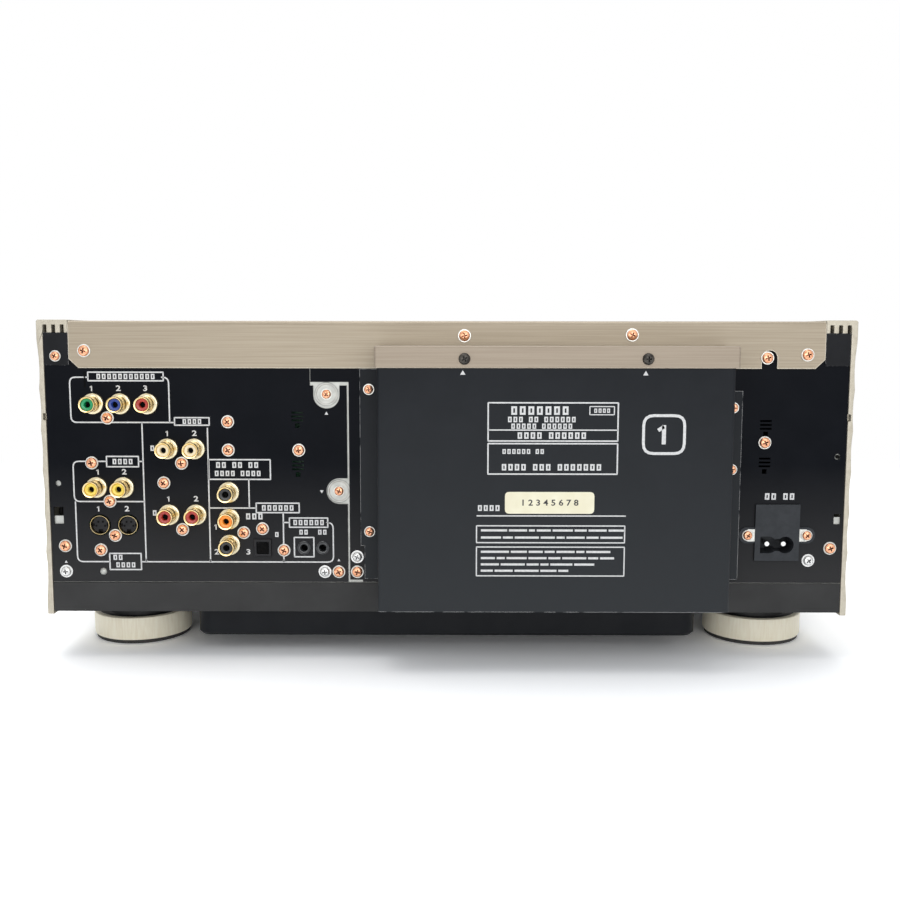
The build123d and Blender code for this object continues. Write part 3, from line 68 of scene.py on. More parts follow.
# ---------------------------------------------------------------- camera
# Behind the player at about its own height, looking slightly down, as the connector side is photographed.
camera_data = bpy.data.cameras.new("camera")
camera_data.sensor_width = 36.0
camera_data.lens = 40.8
camera = bpy.data.objects.new("camera", camera_data)
camera.location = (-4.0 * MM, 729.0 * MM, 169.0 * MM)
camera.rotation_euler = [math.radians(turn) for turn in (83.72, -0.07, -179.762)]
bpy.context.scene.collection.objects.link(camera)
bpy.context.scene.camera = camera

# ---------------------------------------------------------------- studio floor and light
# A glossy white table top without an end, one large soft lamp overhead and weaker ones before and behind,
# of which one stands low and lights the feet.
FLOOR_HALF = 6.0
WHITE_FROM = 0.42  # how far from the middle the floor starts to turn plain white
WHITE_BY = 0.9
MATT_SHARE = 0.86  # of the floor as it is seen, the rest mirrors


def combined(tree, operation, first, second):
    """One operation on a socket and a second socket or number."""
    node = tree.nodes.new("ShaderNodeMath")
    node.operation = operation
    tree.links.new(first, node.inputs[0])
    if isinstance(second, float):
        node.inputs[1].default_value = second
    else:
        tree.links.new(second, node.inputs[1])
    return node.outputs[0]


def ranged(tree, value, low=0.0, high=1.0, to_low=0.0, to_high=1.0, ease="LINEAR"):
    """A value stretched from one range to another, and held at its ends."""
    node = tree.nodes.new("ShaderNodeMapRange")
    node.interpolation_type = ease
    for end, number in (("From Min", low), ("From Max", high), ("To Min", to_low), ("To Max", to_high)):
        node.inputs[end].default_value = number
    tree.links.new(value, node.inputs["Value"])
    return node.outputs[0]


def shared(tree, share, first, second):
    """Two shaders mixed, the second by its share."""
    node = tree.nodes.new("ShaderNodeMixShader")
    for place, socket in enumerate((share, first, second)):
        tree.links.new(socket, node.inputs[place])
    return node.outputs[0]


def object_place(tree):
    """The place on the object, in metres."""
    return tree.nodes.new("ShaderNodeTexCoord").outputs["Object"]


def showing_rays(tree):
    """1 for the rays that see the background itself or its reflection, 0 for the light it gives."""
    rays = tree.nodes.new("ShaderNodeLightPath").outputs
    seen = combined(tree, "MAXIMUM", rays["Is Camera Ray"], rays["Is Glossy Ray"])
    return combined(tree, "MAXIMUM", seen, rays["Is Transmission Ray"])


world = bpy.data.worlds.new("studio")
world.use_nodes = True
bpy.context.scene.world = world
room = world.node_tree
daylight = room.nodes["Background"]
daylight.inputs["Color"].default_value = (0.93, 0.96, 1.0, 1)
daylight.inputs["Strength"].default_value = 0.62
backdrop = room.nodes.new("ShaderNodeBackground")
backdrop.inputs["Color"].default_value = (1, 1, 1, 1)
backdrop.inputs["Strength"].default_value = 1.0
either = shared(room, showing_rays(room), daylight.outputs[0], backdrop.outputs[0])
room.links.new(either, room.nodes["World Output"].inputs[0])

table_top = bpy.data.meshes.new("table_top")
table_corners = [(x * FLOOR_HALF, y * FLOOR_HALF, 0) for x, y in ((-1, -1), (1, -1), (1, 1), (-1, 1))]
table_top.from_pydata(table_corners, [], [(0, 1, 2, 3)])
floor = bpy.data.objects.new("floor", table_top)
bpy.context.scene.collection.objects.link(floor)
floor_finish = bpy.data.materials.new("white_table")
floor_finish.use_nodes = True
tree = floor_finish.node_tree
lacquer = tree.nodes["Principled BSDF"]
lacquer.inputs["Base Color"].default_value = (0.86, 0.87, 0.885, 1)
lacquer.inputs["Roughness"].default_value = 0.34
lacquer.inputs["Specular IOR Level"].default_value = 0.35
seen_white = tree.nodes.new("ShaderNodeBsdfDiffuse")
seen_white.inputs["Color"].default_value = (1.5, 1.5, 1.5, 1)
far_white = tree.nodes.new("ShaderNodeEmission")
far_white.inputs["Color"].default_value = (1, 1, 1, 1)
distance = tree.nodes.new("ShaderNodeVectorMath")
distance.operation = "LENGTH"
tree.links.new(object_place(tree), distance.inputs[0])
seen = showing_rays(tree)
matt_share = combined(tree, "MULTIPLY", seen, MATT_SHARE)
near = shared(tree, matt_share, lacquer.outputs[0], seen_white.outputs[0])
fade = ranged(tree, distance.outputs["Value"], WHITE_FROM, WHITE_BY, ease="SMOOTHSTEP")
lacquer_or_white = shared(tree, combined(tree, "MULTIPLY", fade, seen), near, far_white.outputs[0])
tree.links.new(lacquer_or_white, tree.nodes["Material Output"].inputs[0])
table_top.materials.append(floor_finish)


def softbox(name, place, aim, width, depth, power):
    """A rectangular lamp that faces a point."""
    lamp = bpy.data.lights.new(name, "AREA")
    lamp.shape = "RECTANGLE"
    lamp.size, lamp.size_y, lamp.energy = width, depth, power
    stand = bpy.data.objects.new(name, lamp)
    stand.location = place
    stand.rotation_euler = (Vector(aim) - Vector(place)).to_track_quat("-Z", "Y").to_euler()
    bpy.context.scene.collection.objects.link(stand)


softbox("lamp_overhead", (0.1, -0.1, 1.5), (0, 0, 0), 1.6, 1.2, 13.0)
softbox("lamp_rear", (-0.5, 1.6, 1.0), (0, 0.2, 0.1), 1.0, 0.8, 3.8)
softbox("lamp_low", (0.0, 1.5, 0.22), (0, 0.2, 0.02), 1.4, 0.3, 4.6)
softbox("lamp_front", (0.6, -1.7, 1.1), (0, -0.2, 0.1), 1.0, 0.8, 5.0)

# ---------------------------------------------------------------- chassis and base pan
# Folded and pressed steel under black satin paint. The chassis lip closes the rear wall at the bottom,
# and the pan hangs below the floor between the feet.


def noise(tree, vector, scale, detail):
    """The value of a noise pattern, with its scale per metre."""
    pattern = tree.nodes.new("ShaderNodeTexNoise")
    pattern.inputs["Scale"].default_value = scale
    pattern.inputs["Detail"].default_value = detail
    tree.links.new(vector, pattern.inputs["Vector"])
    return pattern.outputs["Fac"]


def finish(name, dark, light, grain, rough, *, bump, fine, metal=0.0, gloss=0.5, stretch=(1, 1, 1)):
    """A procedural finish: colour and sheen vary along one grain, and a finer grain roughens the surface.
    grain and fine are noise scales per metre, and bump is the height of the fine grain in metres."""
    material = bpy.data.materials.new(name)
    material.use_nodes = True
    tree = material.node_tree
    shader = tree.nodes["Principled BSDF"]
    shader.inputs["Metallic"].default_value = metal
    shader.inputs["Specular IOR Level"].default_value = gloss
    mapping = tree.nodes.new("ShaderNodeMapping")
    mapping.inputs["Scale"].default_value = stretch
    tree.links.new(object_place(tree), mapping.inputs["Vector"])
    cloud = noise(tree, mapping.outputs[0], grain, 5.0)
    colours = tree.nodes.new("ShaderNodeValToRGB")
    for stop, position, colour in zip(colours.color_ramp.elements, (0.35, 0.65), (dark, light)):
        stop.position = position
        stop.color = (*colour, 1)
    tree.links.new(cloud, colours.inputs[0])
    tree.links.new(colours.outputs[0], shader.inputs["Base Color"])
    tree.links.new(ranged(tree, cloud, to_low=rough[0], to_high=rough[1]), shader.inputs["Roughness"])
    relief = tree.nodes.new("ShaderNodeBump")
    relief.inputs["Distance"].default_value = bump
    tree.links.new(noise(tree, mapping.outputs[0], fine, 2.0), relief.inputs["Height"])
    tree.links.new(relief.outputs[0], shader.inputs["Normal"])
    return material


def coated(material, share, colour, elsewhere=False):
    """Mixes a plain colour into a finish by a share, or elsewhere, by what the share leaves."""
    tree = material.node_tree
    base = tree.nodes["Principled BSDF"].inputs["Base Color"]
    mix = tree.nodes.new("ShaderNodeMix")
    mix.data_type = "RGBA"
    laid, kept = (6, 7) if elsewhere else (7, 6)
    tree.links.new(share, mix.inputs[0])
    tree.links.new(base.links[0].from_socket, mix.inputs[kept])
    mix.inputs[laid].default_value = (*colour, 1)
    tree.links.new(mix.outputs[2], base)
    return material


def worn_and_highlit_edges(material, edge_colour, width, share, patch):
    """A paler colour along edges, in patches of the given noise scale. With a small share it is paint rubbed
    through to the bare metal; with a share near 1, as on the top cover, it is a painted highlight.
    """
    tree = material.node_tree
    rounded = tree.nodes.new("ShaderNodeBevel")
    rounded.samples = 6
    rounded.inputs["Radius"].default_value = width
    true_face = tree.nodes.new("ShaderNodeNewGeometry")
    agree = tree.nodes.new("ShaderNodeVectorMath")
    agree.operation = "DOT_PRODUCT"
    tree.links.new(rounded.outputs[0], agree.inputs[0])
    tree.links.new(true_face.outputs["True Normal"], agree.inputs[1])
    edge = ranged(tree, agree.outputs["Value"], 0.97, 0.80)
    edge_patches = ranged(tree, noise(tree, object_place(tree), patch, 6.0), 1.0 - share, 1.08 - share)
    return coated(material, combined(tree, "MULTIPLY", edge, edge_patches), edge_colour)


def body_of(node):
    return frame["nodes"][node]["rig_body"]


def shade(mesh):
    """Smooth shading that leaves the edges between flat faces sharp."""
    mesh.shade_smooth()
    mesh.set_sharp_from_angle(angle=math.radians(SMOOTH_BELOW))


def show(name, mesh, body, material, shaded=False):
    """Puts a finished mesh on a body of the player, with its faces outwards. A mesh that is already
    shaded keeps its shading."""
    if isinstance(mesh, bmesh.types.BMesh):
        built = bpy.data.meshes.new(name)
        bmesh.ops.recalc_face_normals(mesh, faces=mesh.faces)
        mesh.to_mesh(built)
        mesh.free()
        mesh = built
    piece = bpy.data.objects.new(name, mesh)
    bpy.context.scene.collection.objects.link(piece)
    if not shaded:
        shade(mesh)
    mesh.materials.clear()
    mesh.materials.append(material)
    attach(piece, body)
    return piece


def settled(piece):
    """The piece's mesh with its modifiers applied."""
    bpy.context.view_layer.update()
    shape = piece.evaluated_get(bpy.context.evaluated_depsgraph_get())
    mesh = bpy.data.meshes.new_from_object(shape)
    bpy.data.objects.remove(piece)
    return mesh


def merged(node):
    """The loose triangles of a solid as one closed shell."""
    shell = bmesh.new()
    shell.from_mesh(frame["nodes"][node].data)
    bmesh.ops.remove_doubles(shell, verts=shell.verts, dist=SAME_POINT)
    return shell


def softened(node, material, edge=0.25 * MM):
    """A copy of a solid with its sharp edges rounded, which stands for the solid."""
    mesh = frame["nodes"][node].data.copy()
    shell = merged(node)
    shell.to_mesh(mesh)
    shell.free()
    mesh.shade_smooth()
    draft = bpy.data.objects.new(node + "_draft", mesh)
    bpy.context.scene.collection.objects.link(draft)
    rounding = draft.modifiers.new("edges", "BEVEL")
    rounding.width = edge
    rounding.segments = 2
    rounding.limit_method = "ANGLE"
    rounding.angle_limit = math.radians(40)
    rounding.miter_outer = "MITER_ARC"
    flats = draft.modifiers.new("flats", "WEIGHTED_NORMAL")
    flats.weight = 100
    piece = show(node + "_dressed", settled(draft), body_of(node), material, shaded=True)
    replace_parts(piece, node)


def paint(node, material):
    """Gives a solid that keeps its shape its finish."""
    target = frame["nodes"][node]
    target.data.materials.clear()
    target.data.materials.append(material)


def painted_floor_reflection(material, colour, clear_above, palest_below):
    """A painted reflection of the floor: the colour turns paler downwards between two heights in metres."""
    tree = material.node_tree
    height = tree.nodes.new("ShaderNodeSeparateXYZ")
    tree.links.new(object_place(tree), height.inputs[0])
    return coated(material, ranged(tree, height.outputs[2], clear_above, palest_below), colour)


pan_steel = finish(
    "pan_steel", (0.006, 0.007, 0.009), (0.009, 0.010, 0.012), 60, (0.34, 0.46), gloss=0.12, bump=0.004 * MM,
    fine=2600
)
# The chassis is given a paler grey than the black paint of the panels: a painted reflection of the floor along
# its lip.
chassis_reflection_grey = finish(
    "chassis_reflection_grey", (0.026, 0.026, 0.026), (0.036, 0.036, 0.036), 45, (0.34, 0.46), gloss=0.2,
    bump=0.004 * MM, fine=2600
)
softened("bottom_chassis", chassis_reflection_grey)
softened("base_pan", pan_steel, 0.4 * MM)

# ---------------------------------------------------------------- feet
# Turned aluminium cups in the side panels' champagne colour, filled with a black moulding that spaces them
# off the chassis, on a dark pad.
FOOT_PLACES = [(side * 175.3, y) for side in (-1, 1) for y in (-169.5, 153.0)]


def turned(outline, sides=36):
    """A turned shape about +Z from (radius, height) corners in millimetres, closed on its axis."""
    shape = bmesh.new()
    rings = []
    for radius, height in outline:
        if radius == 0:
            rings.append([shape.verts.new((0, 0, height * MM))])
            continue
        turns = [2 * math.pi * step / sides for step in range(sides)]
        spots = [(radius * MM * math.cos(a), radius * MM * math.sin(a), height * MM) for a in turns]
        rings.append([shape.verts.new(spot) for spot in spots])
    for inner, outer in zip(rings, rings[1:] + rings[:1]):
        for step in range(sides):
            following = (step + 1) % sides
            corners = []
            for ring, index in ((inner, step), (inner, following), (outer, following), (outer, step)):
                vertex = ring[index] if len(ring) > 1 else ring[0]
                if vertex not in corners:
                    corners.append(vertex)
            if len(corners) > 2:
                shape.faces.new(corners)
    return shape


def turned_at(places, outline, sides=36):
    """The same turned shape, standing at several (x, y) places in millimetres."""
    shape = bmesh.new()
    for x, y in places:
        copy = turned(outline, sides)
        bmesh.ops.translate(copy, vec=(x * MM, y * MM, 0), verts=copy.verts)
        part = bpy.data.meshes.new("part")
        copy.to_mesh(part)
        copy.free()
        shape.from_mesh(part)
        bpy.data.meshes.remove(part)
    return shape


champagne = finish(
    "champagne_turned", (0.93, 0.85, 0.66), (1.0, 0.94, 0.76), 900, (0.34, 0.48),
    stretch=(1, 1, 0.12), bump=0.005 * MM, fine=1500
)
core_plastic = finish(
    "core_plastic", (0.012, 0.012, 0.013), (0.022, 0.022, 0.023), 350, (0.45, 0.6), bump=0.02 * MM, fine=1800
)
pad_rubber = finish(
    "pad_rubber", (0.022, 0.021, 0.020), (0.04, 0.038, 0.036), 220, (0.75, 0.9), bump=0.03 * MM, fine=1400
)
cup = [(0, 2.0), (25.6, 2.0), (26.5, 2.25), (27.0, 3.0), (27.0, 13.9), (26.8, 14.6), (26.1, 15.0), (24.3, 15.0)]
cup += [(23.85, 14.6), (23.8, 5.0), (0, 5.0)]
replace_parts(show("foot_cups", turned_at(FOOT_PLACES, cup, 96), "housing", champagne), "foot_rings")
filling = [(0, 5.0), (23.7, 5.0), (23.7, 13.2), (23.2, 13.7), (19.6, 13.9), (19.0, 14.5), (19.0, 25.5)]
filling += [(0, 25.5)]
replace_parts(show("foot_fillings", turned_at(FOOT_PLACES, filling, 72), "housing", core_plastic), "foot_cores")
pad = [(0, 0), (25.4, 0), (26.0, 0.5), (26.0, 2.0), (0, 2.0)]
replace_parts(show("foot_soles", turned_at(FOOT_PLACES, pad, 72), "housing", pad_rubber), "foot_pads")

# ---------------------------------------------------------------- side panels
# Champagne anodised extrusions: a fluted skin and an inward rail with three grooves, drawn along the depth.
# A small black angle closes each rail's end.
side_champagne = finish(
    "champagne_extruded", (0.445, 0.405, 0.325), (0.515, 0.475, 0.39), 420, (0.36, 0.50), metal=0.45,
    stretch=(1, 0.03, 1), bump=0.01 * MM, fine=900
)
for side in ("left", "right"):
    softened("side_panel_" + side, side_champagne, 0.3 * MM)
softened("corner_brackets", worn_and_highlit_edges(finish(
    "bracket_black", (0.004, 0.0048, 0.0065), (0.0075, 0.0082, 0.0105), 150, (0.32, 0.45), gloss=0.14,
    bump=0.004 * MM, fine=2400
), (0.42, 0.42, 0.43), 0.5 * MM, 0.55, 700), 0.2 * MM)

# ---------------------------------------------------------------- top cover and box lid
# Steel sheet with a brushed champagne finish. The cover is folded down at the rear into a band, and the lid
# closes the rear box below it; its edges are chipped to the pale undercoat.
# On the top cover the pale along its edges and its bend into the band is a painted highlight, laid nearly all
# along them.
band_champagne = worn_and_highlit_edges(finish(
    "champagne_brushed", (0.315, 0.262, 0.192), (0.395, 0.335, 0.252), 1400, (0.40, 0.54), metal=0.35,
    stretch=(0.012, 1, 1), bump=0.010 * MM, fine=2600
), (0.86, 0.80, 0.66), 0.8 * MM, 0.95, 60)
lid_champagne = worn_and_highlit_edges(finish(
    "champagne_lid", (0.295, 0.240, 0.182), (0.345, 0.286, 0.220), 1400, (0.42, 0.56), metal=0.3,
    stretch=(0.012, 1, 1), bump=0.010 * MM, fine=2600
), (0.95, 0.90, 0.74), 0.8 * MM, 0.66, 190)
softened("top_cover", band_champagne, 0.3 * MM)
softened("box_lid", lid_champagne, 0.3 * MM)

# ---------------------------------------------------------------- rear panels, frame and box
# Black painted sheet over a zinc-plated frame, which shows in the gap and the two D-shaped notches.
# The box in front of the transformer is satin black, rubbed bright along its folds.
# The black of the panels and of the box turns paler towards the bottom: a painted reflection of the floor.
black_steel = painted_floor_reflection(finish(
    "black_steel", (0.0028, 0.0037, 0.0060), (0.0045, 0.0054, 0.0080), 60, (0.34, 0.46), gloss=0.05,
    bump=0.004 * MM, fine=2600
), (0.034, 0.034, 0.035), 104 * MM, 44 * MM)
zinc = finish(
    "zinc_plate", (0.34, 0.345, 0.325), (0.46, 0.465, 0.44), 240, (0.30, 0.50), metal=0.7, bump=0.004 * MM,
    fine=900
)
box_black = worn_and_highlit_edges(painted_floor_reflection(finish(
    "box_black", (0.0080, 0.0098, 0.0128), (0.0115, 0.0134, 0.0168), 50, (0.38, 0.5), gloss=0.12,
    bump=0.005 * MM, fine=2600
), (0.030, 0.033, 0.036), 150 * MM, 20 * MM), (0.50, 0.50, 0.50), 0.6 * MM, 0.62, 160)
paint("connector_panel", black_steel)
paint("rear_panel", black_steel)
softened("rear_box", box_black)
paint("rear_frame", zinc)

# ---------------------------------------------------------------- phono jacks
# Gold-plated turned shells with a flange on the panel, each round a moulded insert whose colour names
# the signal.


def kept_mesh(name, shape):
    """A bmesh as a shaded mesh with outward faces."""
    mesh = bpy.data.meshes.new(name)
    bmesh.ops.recalc_face_normals(shape, faces=shape.faces)
    shape.to_mesh(mesh)
    shape.free()
    shade(mesh)
    return mesh


def seats_of(node):
    """The middle of the inner face, the half width and the outer end of every loose part of a solid."""
    shell = merged(node)
    waiting = set(shell.verts)
    seats = []
    while waiting:
        part, edge = set(), [waiting.pop()]
        while edge:
            vertex = edge.pop()
            part.add(vertex)
            near = [link.other_vert(vertex) for link in vertex.link_edges]
            edge += [other for other in near if other in waiting]
            waiting -= set(near)
        xs = [v.co.x for v in part]
        ys = [v.co.y for v in part]
        zs = [v.co.z for v in part]
        middle = ((min(xs) + max(xs)) / 2, min(ys), (min(zs) + max(zs)) / 2)
        seats.append((Vector(middle), (max(xs) - min(xs)) / 2, max(ys)))
    shell.free()
    return sorted(seats, key=lambda seat: (-seat[0].z, -seat[0].x))


def set_out_tree():
    """The node tree that sets one piece out on its seats, facing the connector side."""
    tree = bpy.data.node_groups.new("set_out_pieces", "GeometryNodeTree")
    tree.is_modifier = True
    face = tree.interface
    face.new_socket("Seats", in_out="INPUT", socket_type="NodeSocketGeometry")
    for name, kind in (
        ("Piece", "NodeSocketObject"),
        ("Most turn", "NodeSocketFloat"),
        ("Seed", "NodeSocketInt"),
        ("Finish", "NodeSocketMaterial"),
    ):
        face.new_socket(name, in_out="INPUT", socket_type=kind)
    face.new_socket("Pieces", in_out="OUTPUT", socket_type="NodeSocketGeometry")
    given = tree.nodes.new("NodeGroupInput")
    result = tree.nodes.new("NodeGroupOutput")
    piece = tree.nodes.new("GeometryNodeObjectInfo")
    tree.links.new(given.outputs["Piece"], piece.inputs["Object"])
    turn = tree.nodes.new("FunctionNodeRandomValue")
    tree.links.new(given.outputs["Most turn"], turn.inputs[3])
    tree.links.new(given.outputs["Seed"], turn.inputs["Seed"])
    facing = tree.nodes.new("ShaderNodeCombineXYZ")
    facing.inputs[0].default_value = -math.pi / 2
    tree.links.new(turn.outputs[1], facing.inputs[1])
    size = tree.nodes.new("GeometryNodeInputNamedAttribute")
    size.inputs["Name"].default_value = "size"
    spread = tree.nodes.new("GeometryNodeInstanceOnPoints")
    tree.links.new(given.outputs["Seats"], spread.inputs["Points"])
    tree.links.new(piece.outputs["Geometry"], spread.inputs["Instance"])
    tree.links.new(facing.outputs[0], spread.inputs["Rotation"])
    tree.links.new(size.outputs["Attribute"], spread.inputs["Scale"])
    real = tree.nodes.new("GeometryNodeRealizeInstances")
    tree.links.new(spread.outputs[0], real.inputs[0])
    coat = tree.nodes.new("GeometryNodeSetMaterial")
    tree.links.new(real.outputs[0], coat.inputs["Geometry"])
    tree.links.new(given.outputs["Finish"], coat.inputs["Material"])
    tree.links.new(coat.outputs[0], result.inputs[0])
    return tree


set_out = set_out_tree()


def set_out_pieces(name, master, seats, body, material, turn=0.0, seed=1, sizes=None):
    """One mesh of a master piece, which points along +Z, repeated on its seats. turn is the most it turns."""
    pattern = bpy.data.objects.new(name + "_master", master)
    points = bpy.data.meshes.new(name + "_seats")
    points.from_pydata([tuple(seat) for seat in seats], [], [])
    attribute = points.attributes.new("size", "FLOAT_VECTOR", "POINT")
    for item, size in zip(attribute.data, sizes or [1.0] * len(seats)):
        item.vector = (size, size, size)
    draft = bpy.data.objects.new(name + "_draft", points)
    bpy.context.scene.collection.objects.link(draft)
    modifier = draft.modifiers.new("set_out", "NODES")
    modifier.node_group = set_out
    values = {"Piece": pattern, "Most turn": turn, "Seed": seed, "Finish": material}
    for item in set_out.interface.items_tree:
        if item.in_out == "INPUT" and item.name in values:
            modifier[item.identifier] = values[item.name]
    mesh = settled(draft)
    bpy.data.objects.remove(pattern)
    if "size" in mesh.attributes:
        mesh.attributes.remove(mesh.attributes["size"])
    return show(name, mesh, body, material)


gold = finish(
    "gold_plate", (0.83, 0.62, 0.27), (0.95, 0.78, 0.45), 300, (0.12, 0.26), metal=1.0, bump=0.002 * MM,
    fine=1500
)
pale_gold = finish(
    "flange_plate", (0.70, 0.60, 0.38), (0.84, 0.75, 0.54), 300, (0.18, 0.32), metal=0.9, bump=0.003 * MM,
    fine=1500
)
PANEL_Y = 204.0 * MM
barrel_outline = [(3.2, 9.0), (3.25, 10.1), (3.6, 10.45), (3.95, 10.5), (4.15, 10.2), (4.15, 8.7), (3.95, 8.4)]
barrel_outline += [(3.95, 2.2), (4.15, 1.9), (4.15, 1.0), (3.2, 1.0)]
flange_outline = [(4.0, 0), (5.5, 0), (5.5, 1.2), (5.3, 1.55), (4.7, 1.75), (4.15, 2.3), (4.0, 2.3)]
jack_seats = [Vector((seat.x, PANEL_Y, seat.z)) for seat, half, top in seats_of("jack_shells")]
barrel = kept_mesh("barrel", turned(barrel_outline, 40))
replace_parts(set_out_pieces("jack_barrels", barrel, jack_seats, "housing", gold), "jack_shells")
flange = kept_mesh("flange", turned(flange_outline, 40))
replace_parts(set_out_pieces("jack_flanges", flange, jack_seats, "housing", pale_gold), "jack_shells")
insert_outline = [(1.5, 6.6), (1.5, 8.9), (1.75, 9.3), (2.95, 9.45), (3.18, 9.2), (3.18, 6.6)]
# Near black for the floors of the jacks' centre holes and for the flat print in openings: painted shade of the
# holes.
hole_shade_black = finish(
    "hole_shade_black", (0.003, 0.003, 0.003), (0.006, 0.006, 0.006), 500, (0.4, 0.6), gloss=0.03, bump=0.003 * MM,
    fine=2500
)
signal_colours = {
    "green": ((0.0, 0.24, 0.08), (0.015, 0.38, 0.15), [(182.2, 135.0)]),
    "blue": ((0.010, 0.030, 0.22), (0.03, 0.07, 0.34), [(168.2, 135.0)]),
    "red": ((0.34, 0.022, 0.016), (0.50, 0.055, 0.035), [(154.2, 135.0), (144.4, 77.2), (130.4, 77.2)]),
    "yellow": ((0.84, 0.62, 0.07), (0.94, 0.74, 0.14), [(181.8, 91.5), (167.8, 91.5)]),
    "white": ((0.84, 0.70, 0.44), (0.93, 0.82, 0.58), [(144.4, 111.7), (130.4, 111.7)]),
    "orange": ((0.90, 0.24, 0.015), (1.0, 0.36, 0.04), [(113.1, 75.0)]),
    "black": ((0.012, 0.012, 0.013), (0.022, 0.022, 0.024), [(113.1, 89.0), (113.1, 61.3)]),
}
for signal, (low, high, places) in signal_colours.items():
    plastic = finish("insert_" + signal, low, high, 500, (0.22, 0.34), bump=0.004 * MM, fine=2500)
    seats = [Vector((x * MM, PANEL_Y, z * MM)) for x, z in places]
    insert = kept_mesh("insert", turned(insert_outline, 32))
    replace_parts(set_out_pieces("inserts_" + signal, insert, seats, "housing", plastic), "jack_inserts")
contact_outline = [(0, 7.4), (0.45, 7.4), (0.6, 8.2), (0.75, 8.2), (0.8, 6.9), (3.18, 6.9), (3.18, 1.0)]
contact = kept_mesh("contact", turned(contact_outline + [(0, 1.0)], 32))
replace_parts(set_out_pieces("jack_contacts", contact, jack_seats, "housing", hole_shade_black), "jack_inserts")

# ---------------------------------------------------------------- other sockets and the mains inlet
# Black mouldings behind the panel: two four-pole picture sockets in thin gold rings, an optical port with its
# flap, two small control sockets, and a two-pole mains inlet held by its metal ears.
socket_black = finish(
    "socket_black", (0.009, 0.009, 0.010), (0.015, 0.015, 0.017), 420, (0.30, 0.44), gloss=0.2, bump=0.006 * MM,
    fine=2200
)
inlet_black = finish(
    "inlet_black", (0.022, 0.025, 0.029), (0.030, 0.033, 0.038), 300, (0.40, 0.52), gloss=0.22, bump=0.01 * MM,
    fine=1800
)
softened("svideo_cores", socket_black, 0.15 * MM)
sleeve = turned([(4.68, -10.9), (5.0, -10.9), (5.1, 0.3), (4.95, 0.6), (4.8, 0.6), (4.66, 0.3)], 48)
svideo_seats = [Vector((seat.x, PANEL_Y, seat.z)) for seat, half, top in seats_of("svideo_shells")]
sleeves = set_out_pieces("svideo_sleeves", kept_mesh("sleeve", sleeve), svideo_seats, "housing", gold)
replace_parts(sleeves, "svideo_shells")
softened("optical_socket", socket_black, 0.3 * MM)
softened("control_jacks", socket_black, 0.2 * MM)
collar_outline = [(1.8, -2.0), (1.8, 0.2), (2.05, 0.62), (2.5, 0.68), (2.9, 0.45), (3.3, 0.62), (3.6, 0.3)]
collar = turned(collar_outline + [(3.6, -0.4)])
collar_grey = finish(
    "collar_grey", (0.030, 0.032, 0.035), (0.05, 0.052, 0.056), 420, (0.18, 0.3), gloss=0.6, bump=0.003 * MM,
    fine=2200
)
control_seats = [Vector((seat.x, PANEL_Y, seat.z)) for seat, half, top in seats_of("control_jacks")]
set_out_pieces("control_collars", kept_mesh("collar", collar), control_seats, "housing", collar_grey)
softened("mains_inlet", inlet_black, 0.35 * MM)
bright_steel = finish(
    "bright_steel", (0.62, 0.62, 0.62), (0.80, 0.80, 0.80), 700, (0.10, 0.24), metal=1.0, bump=0.002 * MM,
    fine=1800
)
paint("inlet_pins", bright_steel)

# ---------------------------------------------------------------- printing
# Silk-screened frames, plain numbers and wordless blocks in off-white ink, and the cream label on the box.
ink = finish("ink", (0.60, 0.60, 0.60), (0.74, 0.74, 0.73), 900, (0.5, 0.65), bump=0.003 * MM, fine=3000)
INK_PROUD = 0.06 * MM
BOX_Y = 230.0 * MM
LINE = 0.7


def stroke(shape, corners, y, width=LINE, closed=False):
    """A printed line through (x, z) corners in millimetres, on the surface at y, with mitred joints."""
    points = [Vector((x, z)) for x, z in corners]
    count = len(points)
    left, right = [], []
    for index, point in enumerate(points):
        before = points[index - 1] if index or closed else None
        after = points[(index + 1) % count] if index < count - 1 or closed else None
        into = (point - before).normalized() if before is not None else (after - point).normalized()
        out = (after - point).normalized() if after is not None else into
        across = Vector((-(into + out).y, (into + out).x)).normalized()
        reach = width / 2 / max(0.4, across.dot(Vector((-into.y, into.x))))
        for bank, sign in ((left, 1), (right, -1)):
            spot = point + across * reach * sign
            bank.append(shape.verts.new((spot.x * MM, y + INK_PROUD, spot.y * MM)))
    last = count if closed else count - 1
    for index in range(last):
        following = (index + 1) % count
        shape.faces.new((left[index], left[following], right[following], right[index]))


def rounded_corners(corners, radius, closed=True, steps=4):
    """The corners of an outline, each replaced by a short arc."""
    points = [Vector(corner) for corner in corners]
    count = len(points)
    result = []
    for index, point in enumerate(points):
        if not closed and index in (0, count - 1):
            result.append(tuple(point))
            continue
        to_before = (points[index - 1] - point).normalized()
        to_after = (points[(index + 1) % count] - point).normalized()
        for step in range(steps + 1):
            t = step / steps
            start, end = point + to_before * radius, point + to_after * radius
            spot = start * (1 - t) ** 2 + point * 2 * t * (1 - t) + end * t * t
            result.append(tuple(spot))
    return result


def frame_round(shape, x, z, y, radius, width=LINE):
    """A printed frame between two places on X and on Z."""
    corners = [(x[0], z[0]), (x[1], z[0]), (x[1], z[1]), (x[0], z[1])]
    stroke(shape, rounded_corners(corners, radius), y, width, closed=True)


